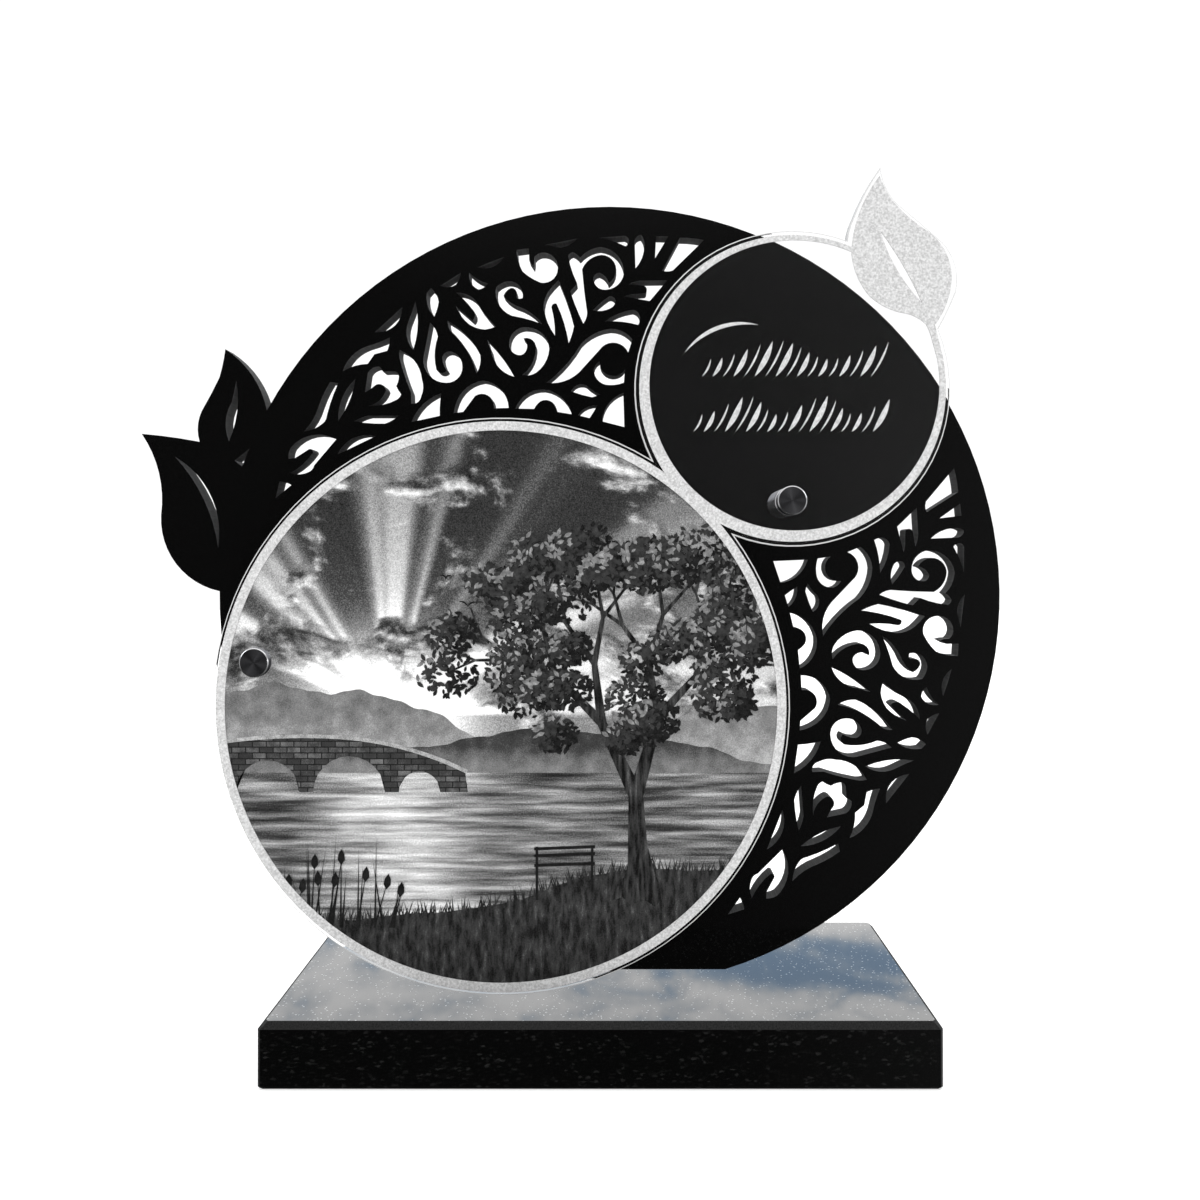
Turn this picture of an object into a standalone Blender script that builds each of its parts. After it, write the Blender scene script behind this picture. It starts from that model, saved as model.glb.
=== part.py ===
"""Memorial plaque: a polished granite plinth carries a black acrylic disc with leaves and scroll fretwork,
and two turned standoffs hold a clear acrylic panel in front of it.

Metres, +Z up, the front faces -Y. The origin is the centre of the plinth's underside.
"""
import math

import bmesh
import bpy
from mathutils import Vector

# Plinth
PLINTH_WIDTH = 0.300
PLINTH_DEPTH = 0.125
PLINTH_HEIGHT = 0.029
PLINTH_TOP_CHAMFER = 0.0027
PLINTH_FOOT_CHAMFER = 0.0010
PLINTH_CORNER_CUT = 0.0012

# Black back plate: a disc cut flat where it stands on the plinth
PLATE_RADIUS = 0.1925
PLATE_FLAT_WIDTH = 0.114
PLATE_THICKNESS = 0.010
PLATE_SIDE_SHIFT = 0.0036
FRETWORK_AXIS_ANGLE = math.radians(47.1)
FRETWORK_AXIS_OFFSET = 0.0022
FRETWORK_SLIDE = 0.0015

# Clear front panel: a large and a small circle in one sheet, with a leaf on the small one
PANEL_THICKNESS = 0.005
LARGE_CIRCLE_RADIUS = 0.1341
SMALL_CIRCLE_RADIUS = 0.0733
CIRCLE_OVERLAP = 0.0074
PANEL_SIDE_SHIFT = 0.0501
PANEL_AXIS_ANGLE = math.radians(47.5)

# Turned standoffs, each a barrel and a cap with its stud
STANDOFF_DIAMETER = 0.0135
BARREL_LENGTH = 0.025
CAP_THICKNESS = 0.0045
CAP_CHAMFER = 0.0007
STUD_DIAMETER = 0.006
STUD_GRIP = 0.009
LEFT_STANDOFF_ANGLE = math.radians(169.6)
LEFT_STANDOFF_INSET = 0.0191
RIGHT_STANDOFF_ANGLE = math.radians(269.2)
RIGHT_STANDOFF_INSET = 0.0212

# Fits
SEAT_GAP = 0.0003
STUD_CLEARANCE = 0.0003
FACET_HEIGHT = 0.00007
TURNED_SIDES = 32

# Places that follow from the sizes
PLATE_CENTRE_X = PLATE_SIDE_SHIFT
PLATE_CENTRE_RISE = math.sqrt(PLATE_RADIUS ** 2 - (PLATE_FLAT_WIDTH / 2) ** 2)
PLATE_CENTRE_Z = PLINTH_HEIGHT + SEAT_GAP + PLATE_CENTRE_RISE
PLATE_FRONT_Y = -PLATE_THICKNESS / 2
PANEL_BACK_Y = PLATE_FRONT_Y - BARREL_LENGTH
PANEL_FRONT_Y = PANEL_BACK_Y - PANEL_THICKNESS
LARGE_CENTRE_X = PLATE_CENTRE_X - PANEL_SIDE_SHIFT
LARGE_CENTRE_Z = PLINTH_HEIGHT + SEAT_GAP + LARGE_CIRCLE_RADIUS
CENTRE_DISTANCE = LARGE_CIRCLE_RADIUS + SMALL_CIRCLE_RADIUS - CIRCLE_OVERLAP
SMALL_CENTRE_X = LARGE_CENTRE_X + CENTRE_DISTANCE * math.cos(PANEL_AXIS_ANGLE)
SMALL_CENTRE_Z = LARGE_CENTRE_Z + CENTRE_DISTANCE * math.sin(PANEL_AXIS_ANGLE)

# The leaves and the fretwork are drawn in units of about a millimetre around the centre of the disc, and
# the panel's leaf around the centre of the small circle, so both keep their place when their circle grows.
DRAWN_DISC_RADIUS = 191.2
DRAWN_SMALL_CIRCLE_RADIUS = 73.0
PLATE_UNIT = PLATE_RADIUS / DRAWN_DISC_RADIUS
LEAF_UNIT = SMALL_CIRCLE_RADIUS / DRAWN_SMALL_CIRCLE_RADIUS

# An outline is a list of corners (x, z, bow), anticlockwise as seen from the front. Each side runs to the
# next corner: straight where bow is 0, otherwise a circular arc that swells outwards by bow.
LEAF_PAIR = [
    (-168.0, 91.3, 3.7), (-188.4, 121.4, -0.3), (-191.3, 107.5, -0.2), (-200.0, 91.0, 1.4),
    (-201.0, 76.0, 0.4), (-229.4, 79.9, -3.8), (-219.9, 40.0, 8.7), (-191.2, 2.7, 0),
]

# Openings that stand once, in the two leaves and where they meet the disc
LEAF_OPENINGS = {
    "upper leaf vein": [(-186.6, 76.2, 2.2), (-182.9, 106.0, 0), (-185.2, 95.5, 2.3)],
    "lower leaf vein": [(-191.9, 24.0, 7.7), (-213.0, 68.6, -3.8)],
    "leaf fork": [(-183.8, 66.8, 0), (-180.2, 63.9, 0), (-176.6, 72.6, 0)],
}

# One half of the fretwork. The other half is its mirror image across the fretwork's axis.
FRETWORK = {
    "rim leaf by the foot": [(-163.8, 48.3, 0), (-156.0, 54.8, 0.4), (-161.8, 56.5, 0)],
    "forked leaf": [
        (-157.4, 67.6, 0), (-154.2, 68.0, 0), (-147.3, 72.4, -0.8), (-145.5, 70.6, -0.9),
        (-156.6, 60.6, 1.0), (-147.0, 61.4, 0.4), (-144.8, 64.5, 0), (-134.0, 77.2, 4.2),
        (-156.4, 73.0, 0.4)],
    "petal on the circle": [(-133.4, 69.7, 0), (-114.6, 78.8, 3.9)],
    "broad swaying leaf": [
        (-149.9, 81.0, 0.7), (-141.0, 84.7, 0.6), (-138.6, 89.0, -0.4), (-133.0, 104.8, 0),
        (-137.0, 105.3, 0.4), (-142.6, 93.5, -0.9)],
    "narrow swaying leaf": [(-133.0, 86.3, 1.4), (-124.6, 106.8, 2.5)],
    "lying petal": [(-125.3, 86.0, 0.4), (-110.0, 84.9, 0.4), (-103.4, 88.8, 0), (-118.5, 88.8, 0.3)],
    "trefoil": [
        (-119.9, 100.2, 0.2), (-114.5, 104.0, -1.4), (-109.6, 101.3, -1.7), (-118.6, 93.5, 1.0),
        (-104.2, 96.7, 0.3), (-102.2, 99.3, -0.2), (-104.6, 103.3, 0.3), (-103.3, 108.0, 0.9),
        (-106.0, 110.5, 0.1), (-111.2, 110.4, 0.3), (-113.0, 112.9, 0.9), (-118.5, 109.8, 0)],
    "notched rim leaf": [
        (-130.9, 110.4, -0.9), (-118.6, 114.2, 0), (-115.3, 118.9, 0), (-109.0, 120.6, 0.3),
        (-107.6, 127.2, -0.3), (-119.0, 122.8, 2.1)],
    "rim wedge": [(-115.1, 129.7, 1.2), (-105.0, 133.2, 0.9), (-101.6, 142.0, 0)],
    "upright leaf": [(-96.3, 121.0, 1.7), (-95.2, 144.8, -0.2), (-98.6, 135.0, 2.0)],
    "upright petal": [(-86.0, 137.3, 0.3), (-83.8, 144.5, 0.8), (-87.6, 151.3, 0), (-89.6, 149.0, 1.4)],
    "leaning spear": [(-97.2, 94.7, 1.3), (-92.4, 98.2, 0.8), (-92.0, 106.5, 2.6), (-102.9, 121.0, 0.4),
                      (-102.6, 115.6, 0.3), (-97.3, 100.0, 0)],
    "hooked scroll": [
        (-88.0, 134.4, 0), (-91.3, 117.0, 3.7), (-80.0, 104.9, 2.5), (-72.2, 113.0, 1.5),
        (-77.5, 120.2, 1.2), (-82.1, 117.3, 0.5), (-79.8, 111.0, -1.4), (-84.9, 111.3, -1.2),
        (-84.2, 127.5, 0.7)],
    "long sickle": [
        (-65.2, 109.5, 0.8), (-63.4, 118.5, 1.8), (-79.4, 135.3, 0.3), (-78.3, 130.8, -1.9)],
    "short sickle": [(-46.8, 107.9, 0.9), (-60.0, 126.0, 0.2), (-58.0, 120.5, 2.6)],
    "barbed leaf": [
        (-68.5, 133.3, 0.5), (-61.0, 131.0, 0.2), (-55.8, 132.5, -0.6), (-65.5, 145.0, 1.2),
        (-75.3, 149.1, -0.4), (-67.3, 141.0, -1.3), (-67.2, 135.4, 0), (-75.4, 142.6, 0.8)],
    "small crescent": [(-68.8, 158.9, 1.7), (-64.2, 150.6, 0.6), (-59.6, 153.6, -0.8)],
    "small rim wedge": [(-83.0, 152.4, 1.0), (-75.4, 153.0, 0.5), (-72.9, 158.9, 0)],
    "rim petal": [(-64.8, 161.4, 2.5), (-51.8, 166.5, 0.2)],
    "round-headed hook": [
        (-45.6, 170.0, 0.7), (-42.6, 159.4, 0.5), (-33.8, 154.0, 2.6), (-25.4, 161.0, 2.7),
        (-33.5, 168.7, 0.4), (-36.9, 166.5, -0.2), (-37.3, 161.8, 0), (-39.4, 165.0, 0),
        (-39.6, 170.8, 0)],
    "thin rim petal": [(-31.8, 172.4, 0.1), (-24.0, 171.2, 0.9), (-15.8, 175.6, 0)],
    "open curl": [
        (-55.6, 151.8, 2.9), (-48.0, 137.8, -0.4), (-33.0, 133.7, 1.3), (-46.0, 142.8, -0.5),
        (-52.0, 147.5, -0.6), (-48.3, 151.4, -1.0), (-45.6, 148.5, 0), (-45.4, 146.3, 0.3),
        (-42.6, 146.5, 0.7), (-44.5, 152.8, 0.6), (-50.0, 154.7, 0.5)],
    "forked spear": [
        (-25.0, 155.3, 0.2), (-30.0, 149.7, 0.7), (-32.3, 141.0, 0.8), (-26.8, 128.1, 0.5),
        (-28.5, 141.8, -0.9), (-26.0, 143.7, -0.8), (-20.1, 124.2, 0.3), (-17.4, 133.0, 0.5)],
    "great scroll": [
        (-20.3, 167.0, 0.5), (-15.9, 153.6, 0), (-19.3, 149.8, 0.3), (-12.9, 133.9, 0.5),
        (-11.0, 139.5, -0.2), (-13.5, 160.5, -1.7), (-4.0, 167.6, -2.1), (3.3, 160.3, -0.9),
        (-0.4, 153.8, 0.9), (-5.0, 158.9, 1.0), (-7.9, 155.5, 1.6), (-2.0, 150.5, 2.2),
        (7.0, 158.5, 3.5), (-4.5, 171.5, 1.1), (-14.5, 166.2, 0.3), (-18.0, 169.0, 0.4)],
    "top rim wedge": [(-5.0, 176.0, -0.5), (7.9, 171.8, 0.3), (9.6, 174.5, 0.5), (7.5, 177.0, 0)],
    "hanging drop": [(12.7, 161.0, 1.1), (17.0, 172.0, 0.6), (15.5, 177.5, 0.8), (12.3, 174.5, 0)],
    "narrow ray": [(22.3, 166.0, 0), (28.8, 176.6, 0), (22.8, 176.8, 0)],
    "broad ray": [(25.8, 159.9, 0.5), (31.0, 160.0, 0), (46.3, 174.9, 0.3), (34.5, 176.1, 0)],
    "swallowtail": [
        (7.0, 147.2, 0), (19.7, 145.0, 0), (28.3, 155.2, 0), (15.0, 155.0, 0.3), (9.3, 153.1, -0.1),
        (15.9, 152.6, -1.5), (17.6, 148.9, 0), (12.5, 148.4, 0.3)],
    "comma": [(-8.3, 140.4, 0.8), (0.5, 141.5, 0.6), (2.8, 144.8, 1.1), (-0.3, 147.2, 0.3)],
    "flying comma": [(-2.3, 135.0, -0.7), (14.0, 133.3, 0.3), (14.9, 137.0, 0.9), (11.5, 140.7, 1.0)],
    "great wave": [
        (-31.0, 104.9, 1.9), (-15.0, 110.0, 0), (-5.0, 121.0, -4.2), (9.1, 119.8, 0),
        (11.2, 126.2, 1.4), (0.5, 131.4, 1.5), (-14.0, 124.0, -1.3)],
    "cup": [
        (-4.8, 115.6, 0.6), (-7.7, 111.5, 2.4), (0.0, 103.8, 0.4), (7.0, 105.0, 0),
        (7.5, 111.4, -5.2)],
    "round-headed scroll": [
        (-42.8, 108.7, 0.7), (-36.0, 109.9, 1.5), (-29.6, 121.5, 2.9), (-40.0, 132.1, 2.7),
        (-49.2, 124.5, 1.5), (-44.8, 118.5, 0.6), (-41.3, 120.0, 1.3), (-42.2, 126.7, -2.2),
        (-36.1, 121.5, -1.6)],
    "left quarter": [(-97.1, 85.7, 0), (-83.3, 88.7, -0.3), (-82.5, 99.9, 2.3)],
    "left arch": [
        (-76.4, 90.0, 0), (-71.7, 90.7, 0), (-66.0, 98.4, -2.6), (-56.9, 95.0, 0), (-56.7, 92.4, 0),
        (-49.5, 92.6, 3.4), (-62.0, 106.0, 1.6), (-73.6, 98.5, 0.5)],
    "right arch": [
        (-46.2, 92.3, 0), (-37.0, 92.1, -0.3), (-34.0, 95.8, -1.4), (-27.0, 94.2, -0.3),
        (-25.9, 90.7, 0), (-18.6, 89.5, 2.8), (-32.0, 101.7, 2.8)],
    "bird": [(-18.9, 100.7, 0.2), (-8.6, 97.8, 0.1), (-4.7, 99.2, -0.4), (-11.5, 103.8, 1.7)],
    "small fin": [(-15.6, 89.0, 0), (-9.8, 87.6, 0.1), (-6.0, 93.9, 1.5)],
    "right quarter": [(-3.6, 86.0, 0), (7.3, 83.2, 0), (6.8, 100.1, 2.7)],
}

# The leaf of the front panel, from the small circle's right side round its tip and back to the circle
PANEL_LEAF = [
    (67.6, 27.6, 0.3), (75.7, 44.5, 3.0), (69.5, 67.8, 0.2), (48.8, 85.4, -1.6), (40.8, 102.6, 0.9),
    (28.0, 79.0, 0.5), (25.1, 68.6, 0),
]


def remove_all_objects():
    for item in list(bpy.data.objects):
        bpy.data.objects.remove(item, do_unlink=True)


def make_material(name, colour, roughness, metallic=0.0, alpha=1.0):
    material = bpy.data.materials.new(name)
    material.use_nodes = True
    shader = material.node_tree.nodes["Principled BSDF"]
    shader.inputs["Base Color"].default_value = (*colour, 1.0)
    shader.inputs["Roughness"].default_value = roughness
    shader.inputs["Metallic"].default_value = metallic
    shader.inputs["Alpha"].default_value = alpha
    return material


def polar(centre, radius, angle):
    return (centre[0] + radius * math.cos(angle), centre[1] + radius * math.sin(angle))


def circle_arc(centre, radius, start_angle, end_angle):
    """Points from one angle anticlockwise to the other, with the last one left out."""
    step = 2 * math.acos(1 - FACET_HEIGHT / radius)
    count = math.ceil((end_angle - start_angle) / step)
    turn = (end_angle - start_angle) / count
    return [polar(centre, radius, start_angle + index * turn) for index in range(count)]


def side_points(start, end, bow):
    """Points along one side of an outline, with its end left out."""
    chord = Vector(end) - Vector(start)
    if bow == 0:
        return [tuple(start)]
    height = abs(bow)
    radius = (chord.length ** 2 / 4 + height ** 2) / (2 * height)
    outward = Vector((chord.y, -chord.x)).normalized()
    towards = outward if bow > 0 else -outward
    centre = (Vector(start) + Vector(end)) / 2 + towards * (height - radius)
    half_sweep = 2 * math.atan2(2 * height, chord.length)
    count = math.ceil(half_sweep / math.acos(max(0.0, 1 - FACET_HEIGHT / radius)))
    turn = 2 * half_sweep / count * (1 if bow > 0 else -1)
    first = math.atan2(start[1] - centre.y, start[0] - centre.x)
    return [polar(centre, radius, first + index * turn) for index in range(count)]


def outline_points(corners, centre, unit, closed=True):
    """Turn corners (x, z, bow) in drawing units into points in metres around a centre."""
    placed = [(centre[0] + x * unit, centre[1] + z * unit, bow * unit) for x, z, bow in corners]
    sides = zip(placed, placed[1:] + placed[:1]) if closed else zip(placed, placed[1:])
    points = []
    for (x, z, bow), (next_x, next_z, _) in sides:
        points += side_points((x, z), (next_x, next_z), bow)
    return points


def mirrored(points, centre):
    """The mirror image of an outline across the fretwork's axis, which passes close by the centre."""
    axis = Vector((math.cos(FRETWORK_AXIS_ANGLE), math.sin(FRETWORK_AXIS_ANGLE)))
    to_the_left = Vector((-axis.y, axis.x))
    origin = Vector(centre) + FRETWORK_AXIS_OFFSET * to_the_left
    images = []
    for point in points:
        offset = Vector(point) - origin
        image = origin + (2 * offset.dot(axis) + FRETWORK_SLIDE) * axis - offset
        images.append(tuple(image))
    return images


def add_object(name, mesh_builder, material):
    mesh = bpy.data.meshes.new(name)
    bmesh.ops.recalc_face_normals(mesh_builder, faces=mesh_builder.faces[:])
    mesh_builder.to_mesh(mesh)
    mesh_builder.free()
    mesh.materials.append(material)
    item = bpy.data.objects.new(name, mesh)
    bpy.context.scene.collection.objects.link(item)
    return item


def cut_sheet(name, outer, openings, front_y, thickness, material):
    """A flat sheet of even thickness, cut to an outer line with openings right through it."""
    builder = bmesh.new()
    for loop in [outer] + openings:
        corners = [builder.verts.new((x, front_y, z)) for x, z in loop]
        for first, second in zip(corners, corners[1:] + corners[:1]):
            builder.edges.new((first, second))
    bmesh.ops.triangle_fill(builder, use_beauty=True, edges=builder.edges[:])
    swept = bmesh.ops.extrude_face_region(builder, geom=builder.faces[:])
    moved = [part for part in swept["geom"] if isinstance(part, bmesh.types.BMVert)]
    bmesh.ops.translate(builder, verts=moved, vec=(0, thickness, 0))
    return add_object(name, builder, material)


def turned_piece(name, profile, centre, material):
    """A piece turned about its own axis along Y, from a profile of (radius, y) that ends on the axis."""
    builder = bmesh.new()
    line = [builder.verts.new((centre[0] + radius, y, centre[1])) for radius, y in profile]
    for first, second in zip(line, line[1:]):
        builder.edges.new((first, second))
    bmesh.ops.spin(builder, geom=builder.verts[:] + builder.edges[:], cent=(centre[0], 0, centre[1]),
                   axis=(0, 1, 0), angle=math.tau, steps=TURNED_SIDES, use_merge=True)
    bmesh.ops.remove_doubles(builder, verts=builder.verts[:], dist=FACET_HEIGHT / 10)
    item = add_object(name, builder, material)
    item.data.shade_smooth()
    item.data.set_sharp_from_angle(angle=math.radians(30))
    return item


def build_plinth(material):
    """A slab with a polished chamfer round its top, and fine ones at its foot and corners."""
    levels = [
        (0.0, PLINTH_FOOT_CHAMFER),
        (PLINTH_FOOT_CHAMFER, 0.0),
        (PLINTH_HEIGHT - PLINTH_TOP_CHAMFER, 0.0),
        (PLINTH_HEIGHT, PLINTH_TOP_CHAMFER),
    ]
    builder = bmesh.new()
    rings = []
    for z, inset in levels:
        half_width = PLINTH_WIDTH / 2 - inset
        half_depth = PLINTH_DEPTH / 2 - inset
        ring = []
        for sign_x, sign_y in ((1, -1), (1, 1), (-1, 1), (-1, -1)):
            side = (sign_x * half_width, sign_y * (half_depth - PLINTH_CORNER_CUT), z)
            front = (sign_x * (half_width - PLINTH_CORNER_CUT), sign_y * half_depth, z)
            ring += [front, side] if sign_x * sign_y < 0 else [side, front]
        rings.append([builder.verts.new(point) for point in ring])
    for lower, upper in zip(rings, rings[1:]):
        for index in range(len(lower)):
            after = (index + 1) % len(lower)
            builder.faces.new((lower[index], lower[after], upper[after], upper[index]))
    builder.faces.new(rings[0][::-1])
    builder.faces.new(rings[-1])
    return add_object("plinth", builder, material)


def build_back_plate(material):
    """The disc with its pair of leaves, its flat foot and the fretwork in two mirrored halves."""
    centre = (PLATE_CENTRE_X, PLATE_CENTRE_Z)
    leaf_top = math.atan2(LEAF_PAIR[0][1], LEAF_PAIR[0][0])
    leaf_foot = math.atan2(LEAF_PAIR[-1][1], LEAF_PAIR[-1][0])
    flat_angle = math.asin(PLATE_CENTRE_RISE / PLATE_RADIUS)
    left_flat = math.pi + flat_angle
    right_flat = math.tau - flat_angle
    outer = outline_points(LEAF_PAIR, centre, PLATE_UNIT, closed=False)
    outer += circle_arc(centre, PLATE_RADIUS, leaf_foot, left_flat)
    outer += [polar(centre, PLATE_RADIUS, left_flat)]
    outer += circle_arc(centre, PLATE_RADIUS, right_flat, math.tau + leaf_top)
    openings = [outline_points(corners, centre, PLATE_UNIT) for corners in LEAF_OPENINGS.values()]
    for corners in FRETWORK.values():
        opening = outline_points(corners, centre, PLATE_UNIT)
        openings += [opening, mirrored(opening, centre)]
    return cut_sheet("back_plate", outer, openings, PLATE_FRONT_Y, PLATE_THICKNESS, material)


def standoff_centres():
    left = polar((LARGE_CENTRE_X, LARGE_CENTRE_Z), LARGE_CIRCLE_RADIUS - LEFT_STANDOFF_INSET,
                 LEFT_STANDOFF_ANGLE)
    right = polar((SMALL_CENTRE_X, SMALL_CENTRE_Z), SMALL_CIRCLE_RADIUS - RIGHT_STANDOFF_INSET,
                  RIGHT_STANDOFF_ANGLE)
    return {"left": left, "right": right}


def build_front_panel(material):
    """Both circles and the leaf as one outline, with a clearance hole for each stud."""
    large = (LARGE_CENTRE_X, LARGE_CENTRE_Z)
    small = (SMALL_CENTRE_X, SMALL_CENTRE_Z)
    squares = CENTRE_DISTANCE ** 2 + LARGE_CIRCLE_RADIUS ** 2 - SMALL_CIRCLE_RADIUS ** 2
    waist_on_axis = squares / (2 * CENTRE_DISTANCE)
    large_half = math.acos(waist_on_axis / LARGE_CIRCLE_RADIUS)
    small_half = math.acos((CENTRE_DISTANCE - waist_on_axis) / SMALL_CIRCLE_RADIUS)
    leaf_start = math.atan2(PANEL_LEAF[0][1], PANEL_LEAF[0][0])
    leaf_end = math.atan2(PANEL_LEAF[-1][1], PANEL_LEAF[-1][0])
    outer = circle_arc(large, LARGE_CIRCLE_RADIUS, PANEL_AXIS_ANGLE + large_half,
                       PANEL_AXIS_ANGLE - large_half + math.tau)
    outer += circle_arc(small, SMALL_CIRCLE_RADIUS, PANEL_AXIS_ANGLE + math.pi + small_half,
                        leaf_start + math.tau)
    outer += outline_points(PANEL_LEAF, small, LEAF_UNIT, closed=False)
    outer += circle_arc(small, SMALL_CIRCLE_RADIUS, leaf_end, PANEL_AXIS_ANGLE + math.pi - small_half)
    hole_radius = STUD_DIAMETER / 2 + STUD_CLEARANCE
    holes = [circle_arc(centre, hole_radius, 0, math.tau) for centre in standoff_centres().values()]
    return cut_sheet("front_panel", outer, holes, PANEL_FRONT_Y, PANEL_THICKNESS, material)


def build_standoff(side, centre, material):
    """A barrel between the plate and the panel, and a cap whose stud passes the panel into the barrel."""
    radius = STANDOFF_DIAMETER / 2
    stud_radius = STUD_DIAMETER / 2
    bore_radius = stud_radius + STUD_CLEARANCE
    barrel_front = PANEL_BACK_Y + SEAT_GAP
    barrel_back = PLATE_FRONT_Y - SEAT_GAP
    bore_bottom = barrel_front + STUD_GRIP + SEAT_GAP
    barrel = [
        (0, bore_bottom), (bore_radius, bore_bottom), (bore_radius, barrel_front),
        (radius - CAP_CHAMFER, barrel_front), (radius, barrel_front + CAP_CHAMFER),
        (radius, barrel_back - CAP_CHAMFER), (radius - CAP_CHAMFER, barrel_back), (0, barrel_back),
    ]
    turned_piece("standoff_barrel_" + side, barrel, centre, material)
    cap_back = PANEL_FRONT_Y - SEAT_GAP
    cap_front = cap_back - CAP_THICKNESS
    cap = [
        (0, cap_front), (radius - CAP_CHAMFER, cap_front), (radius, cap_front + CAP_CHAMFER),
        (radius, cap_back), (stud_radius, cap_back), (stud_radius, barrel_front + STUD_GRIP),
        (0, barrel_front + STUD_GRIP),
    ]
    turned_piece("standoff_cap_" + side, cap, centre, material)


def build_plaque():
    remove_all_objects()
    granite = make_material("polished black granite", (0.012, 0.012, 0.014), 0.12)
    black_acrylic = make_material("black cast acrylic", (0.006, 0.006, 0.007), 0.08)
    clear_acrylic = make_material("clear cast acrylic", (0.9, 0.92, 0.93), 0.05, alpha=0.35)
    anodised = make_material("black anodised aluminium", (0.03, 0.03, 0.03), 0.3, metallic=1.0)
    build_plinth(granite)
    build_back_plate(black_acrylic)
    build_front_panel(clear_acrylic)
    for side, centre in standoff_centres().items():
        build_standoff(side, centre, anodised)


build_plaque()
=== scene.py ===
import math
import random

import bmesh
import bpy
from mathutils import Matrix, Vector


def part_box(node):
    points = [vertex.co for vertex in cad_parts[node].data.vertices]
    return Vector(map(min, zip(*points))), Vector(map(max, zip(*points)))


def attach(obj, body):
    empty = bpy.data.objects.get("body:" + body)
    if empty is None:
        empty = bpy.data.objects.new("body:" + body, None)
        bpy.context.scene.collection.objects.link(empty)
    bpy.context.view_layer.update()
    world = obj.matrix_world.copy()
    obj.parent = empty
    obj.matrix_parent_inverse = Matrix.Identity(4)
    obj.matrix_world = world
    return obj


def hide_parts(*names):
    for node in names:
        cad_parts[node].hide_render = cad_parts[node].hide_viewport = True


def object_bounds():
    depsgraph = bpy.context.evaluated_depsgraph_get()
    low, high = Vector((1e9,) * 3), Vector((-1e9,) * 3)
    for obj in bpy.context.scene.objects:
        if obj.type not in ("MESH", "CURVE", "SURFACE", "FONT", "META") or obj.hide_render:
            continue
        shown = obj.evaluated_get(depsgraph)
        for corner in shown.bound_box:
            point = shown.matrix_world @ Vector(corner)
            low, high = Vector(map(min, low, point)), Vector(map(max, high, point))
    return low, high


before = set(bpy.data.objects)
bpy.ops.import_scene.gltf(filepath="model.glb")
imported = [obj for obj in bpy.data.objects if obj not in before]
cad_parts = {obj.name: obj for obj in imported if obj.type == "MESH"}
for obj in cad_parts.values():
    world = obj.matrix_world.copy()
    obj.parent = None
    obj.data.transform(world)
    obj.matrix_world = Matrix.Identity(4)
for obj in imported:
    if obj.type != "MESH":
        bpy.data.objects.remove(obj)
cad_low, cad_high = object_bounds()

# Studio
# The camera stands level before the plaque: it sees the plinth's top from above and the disc square on.
# The room is plain white. Only polished faces mirror more: a clouded sky behind and a dim room in front.
IMAGE_SIDE_PX = 1200
FOCAL_LENGTH_PX = 1010
VIEW_AXIS_PX = (617.5, 558)
CAMERA_PLACE = (0.0075, -0.5035, 0.2323)

camera = bpy.data.objects.new("camera", bpy.data.cameras.new("camera"))
bpy.context.scene.collection.objects.link(camera)
bpy.context.scene.camera = camera
camera.data.sensor_width = 36
camera.data.lens = camera.data.sensor_width * FOCAL_LENGTH_PX / IMAGE_SIDE_PX
camera.data.shift_x = 0.5 - VIEW_AXIS_PX[0] / IMAGE_SIDE_PX
camera.data.shift_y = VIEW_AXIS_PX[1] / IMAGE_SIDE_PX - 0.5
camera.data.clip_start = 0.01
camera.location = CAMERA_PLACE
camera.rotation_euler = (math.pi / 2, 0, 0)
bpy.context.scene.view_settings.view_transform = "Standard"


def linear(hex_colour):
    """An sRGB hex colour as the linear colour that a shader takes."""
    parts = [int(hex_colour[place:place + 2], 16) / 255 for place in (1, 3, 5)]
    curved = [part / 12.92 if part <= 0.04045 else ((part + 0.055) / 1.055) ** 2.4 for part in parts]
    return (*curved, 1)


def feed(tree, node, inputs):
    """Gives a node its inputs. Each is a value, a socket or a node, by socket name or number."""
    sockets = [socket for socket in node.inputs if socket.enabled]
    for key, value in inputs.items():
        socket = sockets[key] if isinstance(key, int) else next(s for s in sockets if s.name == key)
        if isinstance(value, bpy.types.Node):
            value = next(out for out in value.outputs if out.enabled)
        if isinstance(value, bpy.types.NodeSocket):
            tree.links.new(value, socket)
        else:
            socket.default_value = value


def add_node(tree, kind, settings=None, inputs=None):
    """One shader node with its settings and inputs."""
    node = tree.nodes.new(kind)
    for name, value in (settings or {}).items():
        setattr(node, name, value)
    feed(tree, node, inputs or {})
    return node


def colour_ramp(node, stops):
    """Sets a ramp's stops, each a place and a hex colour."""
    ramp = node.color_ramp
    while len(ramp.elements) < len(stops):
        ramp.elements.new(1.0)
    for element, (place, hex_colour) in zip(ramp.elements, stops):
        element.position = place
        element.color = linear(hex_colour)
    return node


# The room's places are parts of a unit heading: X to the right, Y away from the camera, Z up.
ROOM_WHITE = 1.10
SKY_STRENGTH = 2.85
SKY_MIDDLE_Z = 0.41
SKY_REACH_Z = 0.22
CLOUD_FLATNESS = 3.6
BLUE_GAP_PLACE = (0.17, 0.0, 0.366)
BLUE_GAP_REACH = (0.17, 1000.0, 0.026)
DIM_ROOM = 0.04
SMOOTH_STEP = {"interpolation_type": "SMOOTHSTEP"}

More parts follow.
